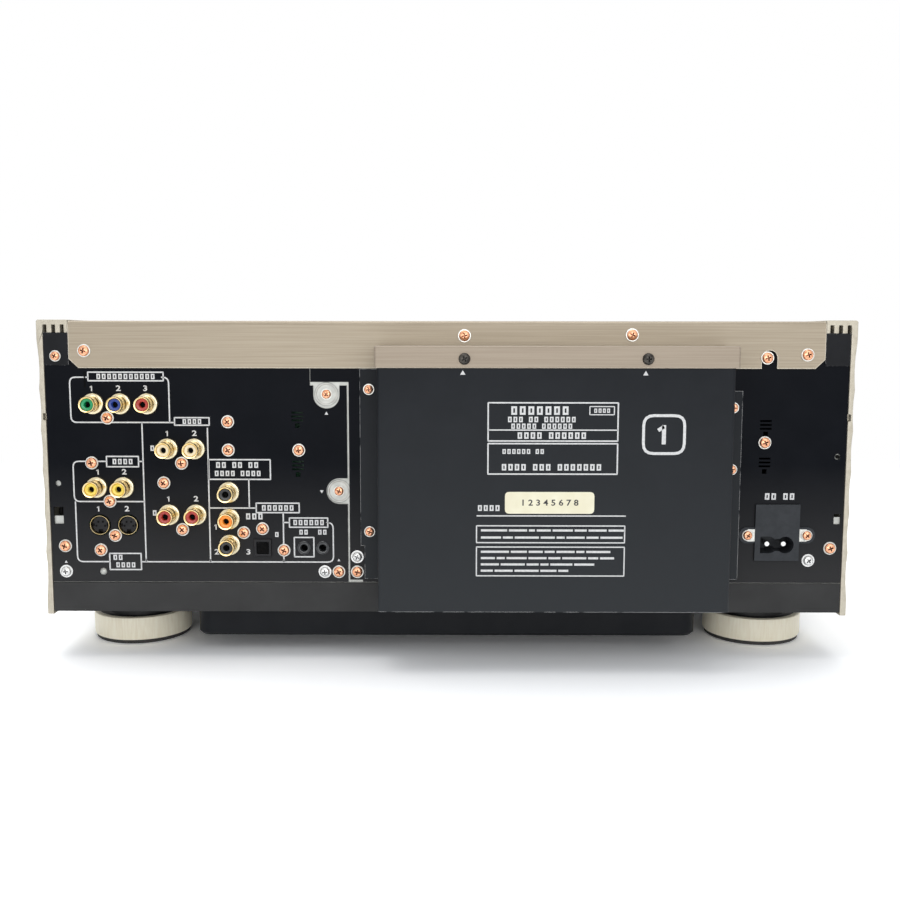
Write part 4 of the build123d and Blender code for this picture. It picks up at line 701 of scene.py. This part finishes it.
def figures(shape, text, x, z, height, y, wide, bold):
    """Printed figures centred on (x, z) in millimetres, read from the connector side."""
    curve = bpy.data.curves.new("figures", "FONT")
    curve.body = text
    curve.align_x = "CENTER"
    curve.align_y = "CENTER"
    curve.size = height * 1.4 * MM
    curve.resolution_u = 2
    curve.offset = bold * MM
    writer = bpy.data.objects.new("figures", curve)
    bpy.context.scene.collection.objects.link(writer)
    mesh = settled(writer)
    turn = Matrix(((-wide, 0, 0, x * MM), (0, 0, 0, y + INK_PROUD), (0, 1, 0, z * MM), (0, 0, 0, 1)))
    mesh.transform(turn)
    shape.from_mesh(mesh)
    bpy.data.meshes.remove(mesh)


def pointer(shape, x, z, y, size, turn=0.0):
    """A small solid triangle that points up, or turned round its middle."""
    tips = [turn + math.radians(angle) for angle in (90, 210, 330)]
    spots = [((x + size * math.cos(a)) * MM, y + INK_PROUD, (z + size * math.sin(a)) * MM) for a in tips]
    shape.faces.new([shape.verts.new(spot) for spot in spots])


def disc(shape, x, z, y, radius, sides=20):
    """A printed round dot."""
    turns = [2 * math.pi * step / sides for step in range(sides)]
    spots = [((x + radius * math.cos(a)) * MM, y + INK_PROUD, (z + radius * math.sin(a)) * MM) for a in turns]
    shape.faces.new([shape.verts.new(spot) for spot in spots])


def numeral(shape, digit, x, z, height, y):
    """A plain number. The one is drawn with its flag, the others are plain figures, widened."""
    if digit != "1":
        figures(shape, digit, x, z, height, y, wide=1.3, bold=0.035 * height)
        return
    weight = height * 0.21
    stroke(shape, [(x, z - height / 2), (x, z + height / 2)], y, weight)
    stroke(shape, [(x + height * 0.3, z + height * 0.22), (x, z + height * 0.42)], y, weight * 0.9)


def blocks(shape, counts, x, z, height, y):
    """Plain blocks where small print stands, in groups of the given numbers, centred on (x, z)."""
    breadth = height * 0.68
    weight = height * 0.24
    gap = height * 0.8
    width = sum(counts) * height + (len(counts) - 1) * gap - (height - breadth)
    place = x + width / 2
    low, high = z - height / 2 + weight / 2, z + height / 2 - weight / 2
    for count in counts:
        for step in range(count):
            near, far = place - weight / 2, place - breadth + weight / 2
            stroke(shape, [(near, low), (far, low), (far, high), (near, high)], y, weight, closed=True)
            place -= height
        place -= gap


def print_mesh(name, shape, material, body="housing", towards=1):
    """Flat print with every face turned towards +Y, or towards -Y."""
    bmesh.ops.triangulate(shape, faces=shape.faces)
    for face in shape.faces:
        face.normal_update()
        if face.normal.y * towards < 0:
            face.normal_flip()
    mesh = bpy.data.meshes.new(name)
    shape.to_mesh(mesh)
    shape.free()
    piece = bpy.data.objects.new(name, mesh)
    bpy.context.scene.collection.objects.link(piece)
    mesh.materials.append(material)
    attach(piece, body)


panel_print = bmesh.new()
# frames of the component, video, S-video, sound, digital and control groups
for line in (
    [(184.5, 148.6), (194, 148.6), (194, 125.3), (140.5, 125.3)],
    [(146.8, 148.6), (143, 148.6), (143, 125.3)],
    [(157.4, 125.3), (157.4, 52.0)],
    [(123.6, 122.6), (123.6, 52.0)],
    [(176.4, 105.0), (193.9, 105.0), (193.9, 83.9), (157.4, 83.9)],
    [(159.8, 105.0), (157.4, 105.0)],
    [(176.5, 52.0), (193.4, 52.0), (193.4, 83.9)],
    [(160.0, 52.0), (59.1, 52.0), (59.1, 73.0), (61.9, 73.0)],
    [(102.7, 95.7), (102.7, 80.6)],
    [(123.6, 80.6), (99.1, 80.6)],
    [(85.1, 78.2), (85.1, 52.0)],
    [(85.1, 73.0), (81.9, 73.0)],
):
    stroke(panel_print, rounded_corners(line, 3.0, closed=False), PANEL_Y)
for x, z in (
    ((184.5, 145.7), (146.8, 151.2)),
    ((140.5, 122.6), (123.9, 127.8)),
    ((176.4, 159.8), (102.2, 107.6)),
    ((176.5, 160.0), (47.8, 56.4)),
    ((123.3, 91.4), (95.7, 106.0)),
    ((99.1, 76.7), (78.2, 83.2)),
    ((81.9, 61.9), (70.5, 75.4)),
    ((79.5, 69.3), (54.8, 65.1)),
):
    frame_round(panel_print, x, z, PANEL_Y, 0.1)
for x in (157.4, 123.6, 85.1):
    pointer(panel_print, x, 52.7, PANEL_Y, 1.0)
for counts, x, z, height in (
    ((11,), 165.1, 149.0, 2.8),
    ((4,), 131.5, 125.8, 2.6),
    ((4,), 168.1, 104.9, 2.8),
    ((2,), 172.2, 54.3, 2.8),
    ((4,), 168.2, 50.3, 2.7),
    ((2, 2, 2), 108.6, 103.2, 3.0),
    ((4, 4), 108.4, 98.8, 2.8),
    ((6,), 87.9, 80.7, 2.9),
    ((3,), 100.2, 76.2, 3.2),
    ((6,), 71.9, 73.0, 2.8),
    ((2,), 74.6, 67.9, 2.6),
    ((2,), 64.8, 67.9, 2.6),
    ((1,), 88.6, 66.6, 2.6),
    ((2, 2), -173.2, 87.2, 3.4),
    ((1,), 152.4, 111.9, 2.8),
    ((1,), 152.2, 77.9, 2.8),
):
    blocks(panel_print, counts, x, z, height, PANEL_Y)
for digit, x, z in (
    ("1", 182.8, 142.8),
    ("2", 169.0, 142.8),
    ("3", 155.1, 142.8),
    ("1", 144.4, 119.6),
    ("2", 130.4, 119.6),
    ("1", 181.0, 99.4),
    ("2", 167.4, 99.4),
    ("1", 181.4, 80.0),
    ("2", 166.6, 80.0),
    ("1", 144.6, 85.3),
    ("2", 130.4, 85.3),
    ("1", 120.3, 70.6),
    ("2", 120.2, 57.2),
    ("3", 103.6, 57.2),
):
    numeral(panel_print, digit, x, z, 2.8, PANEL_Y)
pointer(panel_print, 61.9, 130.0, PANEL_Y, 1.1)
pointer(panel_print, 64.8, 89.5, PANEL_Y, 1.1, turn=math.radians(180))
pointer(panel_print, 199.5, 51.8, PANEL_Y, 0.9)
pointer(panel_print, 56.3, 52.9, PANEL_Y, 0.9)
print_mesh("panel_print", panel_print, ink)

# painted shade: flat black in the pin holes of the picture sockets and in two small openings, and a dark square
# on the optical port
PIN_Y = 203.0 * MM
PORT_Y = 204.8 * MM
opening_shade = bmesh.new()
stroke(opening_shade, [(186.2, 143.4), (186.2, 151.4)], PANEL_Y, 0.9)
disc(opening_shade, -202.4, 108.0, PANEL_Y, 1.1)
for seat in svideo_seats:
    x, z = seat.x / MM, seat.z / MM
    for side in (-1, 1):
        disc(opening_shade, x + side * 1.2, z + 1.5, PIN_Y, 0.55, 12)
        disc(opening_shade, x + side * 2.3, z - 0.6, PIN_Y, 0.55, 12)
        stroke(opening_shade, [(x + side * 3.6, z - 0.9), (x + side * 3.6, z + 0.7)], PIN_Y, 0.9)
    stroke(opening_shade, [(x - 1.1, z - 2.9), (x + 1.1, z - 2.9)], PIN_Y, 0.9)
port = [(93.2, 56.8), (98.8, 56.8), (98.8, 61.6), (98.0, 62.4), (94.0, 62.4), (93.2, 61.6)]
opening_shade.faces.new([opening_shade.verts.new((x * MM, PORT_Y + INK_PROUD, z * MM)) for x, z in port])
print_mesh("dark_openings", opening_shade, hole_shade_black)

box_print = bmesh.new()
for x, z, radius, width in (
    ((-20.7, -84.4), (118.6, 137.4), 0.2, 0.7),
    ((-20.7, -84.4), (102.2, 117.3), 0.2, 0.7),
    ((-70.5, -82.5), (131.6, 135.6), 0.2, 0.5),
    ((-15.2, -88.7), (67.8, 76.3), 0.2, 0.6),
    ((-15.2, -88.7), (51.0, 65.6), 0.2, 0.6),
    ((-97.0, -117.1), (112.5, 131.2), 5.0, 1.4),
):
    frame_round(box_print, x, z, BOX_Y, radius, width)
stroke(box_print, [(-20.7, 124.0), (-84.4, 124.0)], BOX_Y, 0.6)
stroke(box_print, [(-15.2, 81.3), (-89.1, 81.3)], BOX_Y, 0.6)
numeral(box_print, "1", -107.0, 121.8, 9.5, BOX_Y)
for counts, x, z, height in (
    ((7,), -46.0, 133.6, 4.2),
    ((3, 2, 6), -47.0, 129.2, 2.7),
    ((5, 6), -47.0, 125.9, 2.6),
    ((4,), -76.5, 133.6, 2.1),
    ((4, 6), -52.0, 121.3, 3.2),
    ((6, 2), -38.0, 113.4, 2.4),
    ((4, 3, 7), -52.0, 105.6, 3.2),
):
    blocks(box_print, counts, x, z, height, BOX_Y)
pointer(box_print, -8.2, 151.8, BOX_Y, 1.5)
pointer(box_print, -97.5, 151.6, BOX_Y, 1.5)


def text_bars(shape, x, z, y, lengths, height=1.1):
    """A line of small print too fine to read, as a row of word-long bars."""
    place = x
    for length in lengths:
        stroke(shape, [(place, z), (place - length, z)], y, height)
        place -= length + 0.9


for z, lengths in (
    (74.0, (13, 9, 3, 7, 10, 6, 9, 8)),
    (70.4, (10, 5, 12, 7, 4, 9, 6, 11)),
    (63.2, (14, 8, 7, 5, 9, 4, 12)),
    (60.0, (7, 4, 10, 9, 6, 12, 5, 7)),
    (56.8, (9, 12, 6, 4, 11, 10)),
    (53.6, (6, 9, 12, 8, 5)),
):
    text_bars(box_print, -17.4, z, BOX_Y, lengths)
blocks(box_print, (4,), -21.2, 85.2, 2.9, BOX_Y)
print_mesh("box_print", box_print, ink)

sticker_paper = finish(
    "sticker_paper", (0.84, 0.79, 0.58), (0.90, 0.86, 0.66), 120, (0.55, 0.7), bump=0.01 * MM, fine=1600
)
STICKER_THICK = 0.12 * MM
sticker = bmesh.new()
outline = rounded_corners([(-29.2, 82.4), (-73.4, 82.4), (-73.4, 93.3), (-29.2, 93.3)], 2.2)
under, upper = (
    [sticker.verts.new((x * MM, y, z * MM)) for x, z in outline] for y in (BOX_Y, BOX_Y + STICKER_THICK)
)
sticker.faces.new(under)
sticker.faces.new(upper)
for index, corner in enumerate(under):
    sticker.faces.new((under[index - 1], corner, upper[index], upper[index - 1]))
show("serial_sticker", sticker, "housing", sticker_paper)
number = bmesh.new()
figures(number, "1 2 3 4 5 6 7 8", -51.3, 87.8, 3.0, BOX_Y + 0.1 * MM, wide=1.15, bold=0.08)
label_ink = finish(
    "label_ink", (0.02, 0.02, 0.02), (0.05, 0.05, 0.05), 900, (0.6, 0.7), bump=0.002 * MM, fine=3000
)
print_mesh("sticker_print", number, label_ink)

# ---------------------------------------------------------------- screws
# Copper-plated machine screws with a cross recess hold the wall, plated cup screws its frame, and two dark
# ones the lid of the box.


def recessed_head(name, radius, height, washer):
    """A pan head along +Z with a cross recess, on a washer rim if it has one. Sizes in millimetres."""
    outline = [(0, height), (radius * 0.45, height * 0.99), (radius * 0.75, height * 0.88)]
    outline += [(radius * 0.93, height * 0.66), (radius, height * 0.40), (radius, 0.30)]
    if washer:
        outline += [(washer * 0.97, 0.30), (washer, 0.20)]
    outline += [(outline[-1][0], 0), (0, 0)]
    head = bpy.data.objects.new(name, kept_mesh(name, turned(outline, 28)))
    bpy.context.scene.collection.objects.link(head)
    cross = bmesh.new()
    for size in ((radius * 1.3, radius * 0.34), (radius * 0.34, radius * 1.3)):
        bar = bmesh.ops.create_cube(cross, size=1.0)["verts"]
        bmesh.ops.scale(cross, vec=(size[0] * MM, size[1] * MM, height * 1.2 * MM), verts=bar)
        bmesh.ops.translate(cross, vec=(0, 0, height * 0.95 * MM), verts=bar)
        for vertex in bar:
            if vertex.co.z < height * 0.8 * MM:
                vertex.co.x *= 0.55
                vertex.co.y *= 0.55
    cutter = bpy.data.objects.new(name + "_recess", kept_mesh(name + "_recess", cross))
    bpy.context.scene.collection.objects.link(cutter)
    cut = head.modifiers.new("recess", "BOOLEAN")
    cut.operation = "DIFFERENCE"
    cut.solver = "EXACT"
    cut.use_self = True
    cut.object = cutter
    mesh = settled(head)
    bpy.data.objects.remove(cutter)
    return mesh


def with_recess_shade(material, colour, depth):
    """Darkens a finish where it is enclosed: painted shade in a recess."""
    tree = material.node_tree
    hidden = tree.nodes.new("ShaderNodeAmbientOcclusion")
    hidden.samples = 6
    hidden.inputs["Distance"].default_value = depth
    open_share = ranged(tree, hidden.outputs["AO"], 0.35, 0.85)
    return coated(material, open_share, colour, elsewhere=True)


# The cross recesses of the copper screws are darkened with painted shade.
copper = with_recess_shade(
    finish(
        "copper_plate", (0.70, 0.30, 0.16), (0.92, 0.50, 0.31), 900, (0.18, 0.34), metal=0.85, bump=0.006 * MM,
        fine=2400
    ),
    (0.06, 0.014, 0.006), 1.9 * MM
)
HEAD_HIGH = 1.8
WASHER_HALF = 3.4 * MM
NOTCH_HEADS_END = 205.2 * MM  # less far out than the heads on the panels
copper_seats = seats_of("copper_screws")
head_places = [Vector((seat.x, top - HEAD_HIGH * MM, seat.z)) for seat, half, top in copper_seats]
head_sizes = [half / WASHER_HALF for seat, half, top in copper_seats]
heads = set_out_pieces(
    "copper_heads",
    recessed_head("copper_head", 2.8, HEAD_HIGH, None),
    head_places,
    "housing",
    copper,
    turn=math.pi / 2,
    seed=4,
    sizes=head_sizes,
)
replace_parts(heads, "copper_screws")
washer_zinc = finish(
    "washer_zinc", (0.50, 0.50, 0.47), (0.68, 0.68, 0.64), 500, (0.24, 0.4), metal=0.8, bump=0.003 * MM,
    fine=2000
)
washer = kept_mesh("washer", turned([(2.2, 0), (3.4, 0), (3.4, 0.25), (3.25, 0.4), (2.2, 0.4)], 32))
washers = set_out_pieces("washers", washer, head_places, "housing", washer_zinc, sizes=head_sizes)
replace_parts(washers, "copper_screws")
# rings pressed into the zinc frame, round the screws that stand on it in the notches
notch_places = [
    place
    for place, (seat, half, top) in zip(head_places, copper_seats)
    if top < NOTCH_HEADS_END and seat.x > 0
]
pressed_ring = kept_mesh("pressed_ring", turned([(4.9, 0), (5.2, 0.22), (5.9, 0.22), (6.2, 0)], 48))
set_out_pieces("pressed_rings", pressed_ring, notch_places, "housing", zinc)
# the mains inlet's ears, each a strip from its screw towards the socket
INLET_X = -172.35
EAR_LONG = 5.4
EAR_WIDE = 6.4
ear_plates = bmesh.new()
for place in head_places:
    x, z = place.x / MM, place.z / MM
    if -195 < x < -150 and 62 < z < 76:
        line = [(x, z), (x + math.copysign(EAR_LONG, INLET_X - x), z)]
        stroke(ear_plates, line, place.y, EAR_WIDE)
print_mesh("ear_plates", ear_plates, washer_zinc)
# The recesses of the plated cup screws are darkened with painted shade.
plated = with_recess_shade(
    finish(
        "plated_screw", (0.62, 0.62, 0.61), (0.80, 0.80, 0.79), 420, (0.20, 0.36), metal=0.8, bump=0.004 * MM,
        fine=2000
    ),
    (0.16, 0.16, 0.16), 1.4 * MM
)
plated_seats = [(seat, half) for seat, half, top in seats_of("plated_fasteners") if half > 3 * MM]
cups = set_out_pieces(
    "plated_cups",
    recessed_head("plated_head", 2.5, HEAD_HIGH, 3.4),
    [seat for seat, half in plated_seats],
    "housing",
    plated,
    turn=1.5,
    seed=7,
)
rivet_seats = [seat for seat, half, top in seats_of("plated_fasteners") if half < 3 * MM]
rivet_head = kept_mesh(
    "rivet_head", turned([(0, 0.9), (0.8, 0.85), (1.4, 0.6), (1.85, 0.15), (1.9, 0), (0, 0)], 20)
)
set_out_pieces("rivet_heads", rivet_head, rivet_seats, "housing", zinc)
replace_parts(cups, "plated_fasteners")
# The recesses of the dark lid screws are darkened with painted shade.
dark_screw = with_recess_shade(
    finish(
        "dark_screw", (0.03, 0.028, 0.026), (0.085, 0.078, 0.068), 420, (0.28, 0.45), metal=0.8,
        bump=0.004 * MM, fine=2000
    ),
    (0.006, 0.006, 0.006), 1.2 * MM
)
lid_heads = set_out_pieces(
    "lid_heads",
    recessed_head("lid_head", 2.7, HEAD_HIGH, 2.9),
    [seat for seat, half, top in seats_of("lid_screws")],
    "housing",
    dark_screw,
    turn=1.0,
    seed=9,
)
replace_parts(lid_heads, "lid_screws")

# ---------------------------------------------------------------- circuit boards and transformer
# Green boards carry plain blocks for their parts; the transformer is a varnished core with two taped coils.
board_green = finish(
    "board_green", (0.012, 0.085, 0.035), (0.03, 0.16, 0.07), 700, (0.30, 0.5), bump=0.05 * MM, fine=900
)
for node in ("connector_board", "main_board", "power_board", "front_board"):
    paint(node, board_green)
core_iron = finish(
    "core_iron", (0.035, 0.03, 0.028), (0.075, 0.068, 0.062), 300, (0.4, 0.6), metal=0.4,
    stretch=(0.2, 14, 0.2), bump=0.05 * MM, fine=300
)
coil_tape = finish(
    "coil_tape", (0.55, 0.36, 0.06), (0.70, 0.50, 0.12), 60, (0.25, 0.45), stretch=(1, 1, 6), bump=0.06 * MM,
    fine=260
)
paint("transformer_core", core_iron)
paint("transformer_coils", coil_tape)

# ---------------------------------------------------------------- mechanism frame, drive and guide rods
# A plated deck on rubber bushes, ground steel rods, acetal gears and a rubber belt to a brass pulley.
acetal = finish("acetal", (0.74, 0.73, 0.69), (0.84, 0.83, 0.79), 240, (0.35, 0.5), bump=0.01 * MM, fine=1500)
brass = finish(
    "pulley_brass", (0.62, 0.44, 0.14), (0.78, 0.60, 0.26), 500, (0.16, 0.3), metal=1.0, stretch=(1, 1, 8),
    bump=0.004 * MM, fine=1500
)
can_steel = finish(
    "motor_can", (0.46, 0.46, 0.46), (0.62, 0.62, 0.62), 300, (0.24, 0.4), metal=1.0, stretch=(1, 1, 0.1),
    bump=0.004 * MM, fine=900
)
paint("mechanism_frame", zinc)
paint("frame_dampers", pad_rubber)
paint("guide_rods", bright_steel)
paint("drive_gear", acetal)
paint("feed_gear", acetal)
paint("motor_pulley", brass)
paint("loading_belt", pad_rubber)
paint("small_motors", can_steel)
paint("spindle_motor", can_steel)

# ---------------------------------------------------------------- trays
# Moulded black plastic with a fine grain; the small tray slides in a channel of the large one.
tray_black = finish(
    "tray_plastic", (0.018, 0.018, 0.019), (0.028, 0.028, 0.030), 260, (0.42, 0.56), bump=0.02 * MM, fine=2200
)
softened("large_tray", tray_black, 0.3 * MM)
softened("small_tray", tray_black, 0.3 * MM)

# ---------------------------------------------------------------- spindle, clamp and pickup
# A turned aluminium turntable with a sprung cone, a magnetic puck in a pressed arm, and the pickup's carriage.
cast_aluminium = finish(
    "cast_aluminium", (0.50, 0.50, 0.50), (0.66, 0.66, 0.66), 300, (0.28, 0.48), metal=0.95, bump=0.02 * MM,
    fine=900
)
lens_glass = finish(
    "lens_glass", (0.05, 0.06, 0.20), (0.14, 0.12, 0.34), 200, (0.05, 0.12), gloss=0.9, bump=0.001 * MM,
    fine=900
)
paint("turntable", cast_aluminium)
paint("centring_cone", acetal)
paint("clamper", tray_black)
paint("clamp_arm", zinc)
paint("clamp_bridge", zinc)
paint("pickup_carriage", cast_aluminium)
paint("pickup_lenses", lens_glass)

# ---------------------------------------------------------------- front panel and controls
# A hollow champagne front with the doors of both trays, a smoked window, and solid metal buttons.
front_champagne = finish(
    "champagne_front", (0.47, 0.41, 0.31), (0.56, 0.495, 0.385), 1400, (0.36, 0.48), metal=0.35,
    stretch=(0.012, 1, 1), bump=0.008 * MM, fine=2400
)
softened("front_panel", front_champagne, 0.3 * MM)
softened("large_tray_front", front_champagne, 0.3 * MM)
softened("small_tray_front", front_champagne, 0.3 * MM)
smoked = finish(
    "smoked_window", (0.006, 0.006, 0.007), (0.010, 0.010, 0.012), 40, (0.04, 0.08), gloss=0.3,
    bump=0.0005 * MM, fine=60
)
softened("display_window", smoked, 0.2 * MM)
KEY_MARKS = {
    "power_button": [("ring", 0, 0, 2.6), ("post", 0, 2.0, 1.5)],
    "large_tray_button": [("up", 0, 0.8, 2.2), ("bar", 0, -1.8, 1.9), ("bar", 0, -3.2, 6.0)],
    "small_tray_button": [("up", 0, 0.8, 2.2), ("bar", 0, -1.8, 1.9), ("bar", 0, -3.2, 3.0)],
    "play_button": [("right", 0, 0, 2.6)],
    "stop_button": [("square", 0, 0, 1.7)],
    "back_button": [("left", -1.6, 0, 2.0), ("left", 1.6, 0, 2.0)],
    "forward_button": [("right", -1.6, 0, 2.0), ("right", 1.6, 0, 2.0)],
}
for key in KEY_MARKS:
    softened(key, front_champagne, 0.2 * MM)


def front_of(node):
    """The middle of a piece's front face in millimetres, and the height for print on it in metres."""
    low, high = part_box(node)
    return (low[0] + high[0]) / 2 / MM, (low[2] + high[2]) / 2 / MM, low[1] - 2 * INK_PROUD


def key_mark(node, marks):
    """Dark print on a key, of rows of kind, offset on X, offset on Z and size: bars, a post, a square, an open
    ring, and triangles that point up, left or right."""
    shape = bmesh.new()
    x, z, y = front_of(node)
    for kind, across, up, size in marks:
        middle, level = x + across, z + up
        if kind in ("bar", "square"):
            thick = 2 * size if kind == "square" else LINE
            stroke(shape, [(middle - size, level), (middle + size, level)], y, thick)
        elif kind == "post":
            stroke(shape, [(middle, level - size), (middle, level + size)], y)
        elif kind == "ring":
            spots = [math.radians(angle) for angle in range(125, 416, 15)]
            stroke(shape, [(middle + size * math.cos(a), level + size * math.sin(a)) for a in spots], y, 0.6)
        else:
            turn = {"right": -90, "left": 90, "up": 0}[kind]
            pointer(shape, middle, level, y, size, turn=math.radians(turn))
    print_mesh(node + "_mark", shape, label_ink, body_of(node), towards=-1)


for key, marks in KEY_MARKS.items():
    key_mark(key, marks)

# ---------------------------------------------------------------- end
bpy.context.scene.view_settings.view_transform = "Standard"
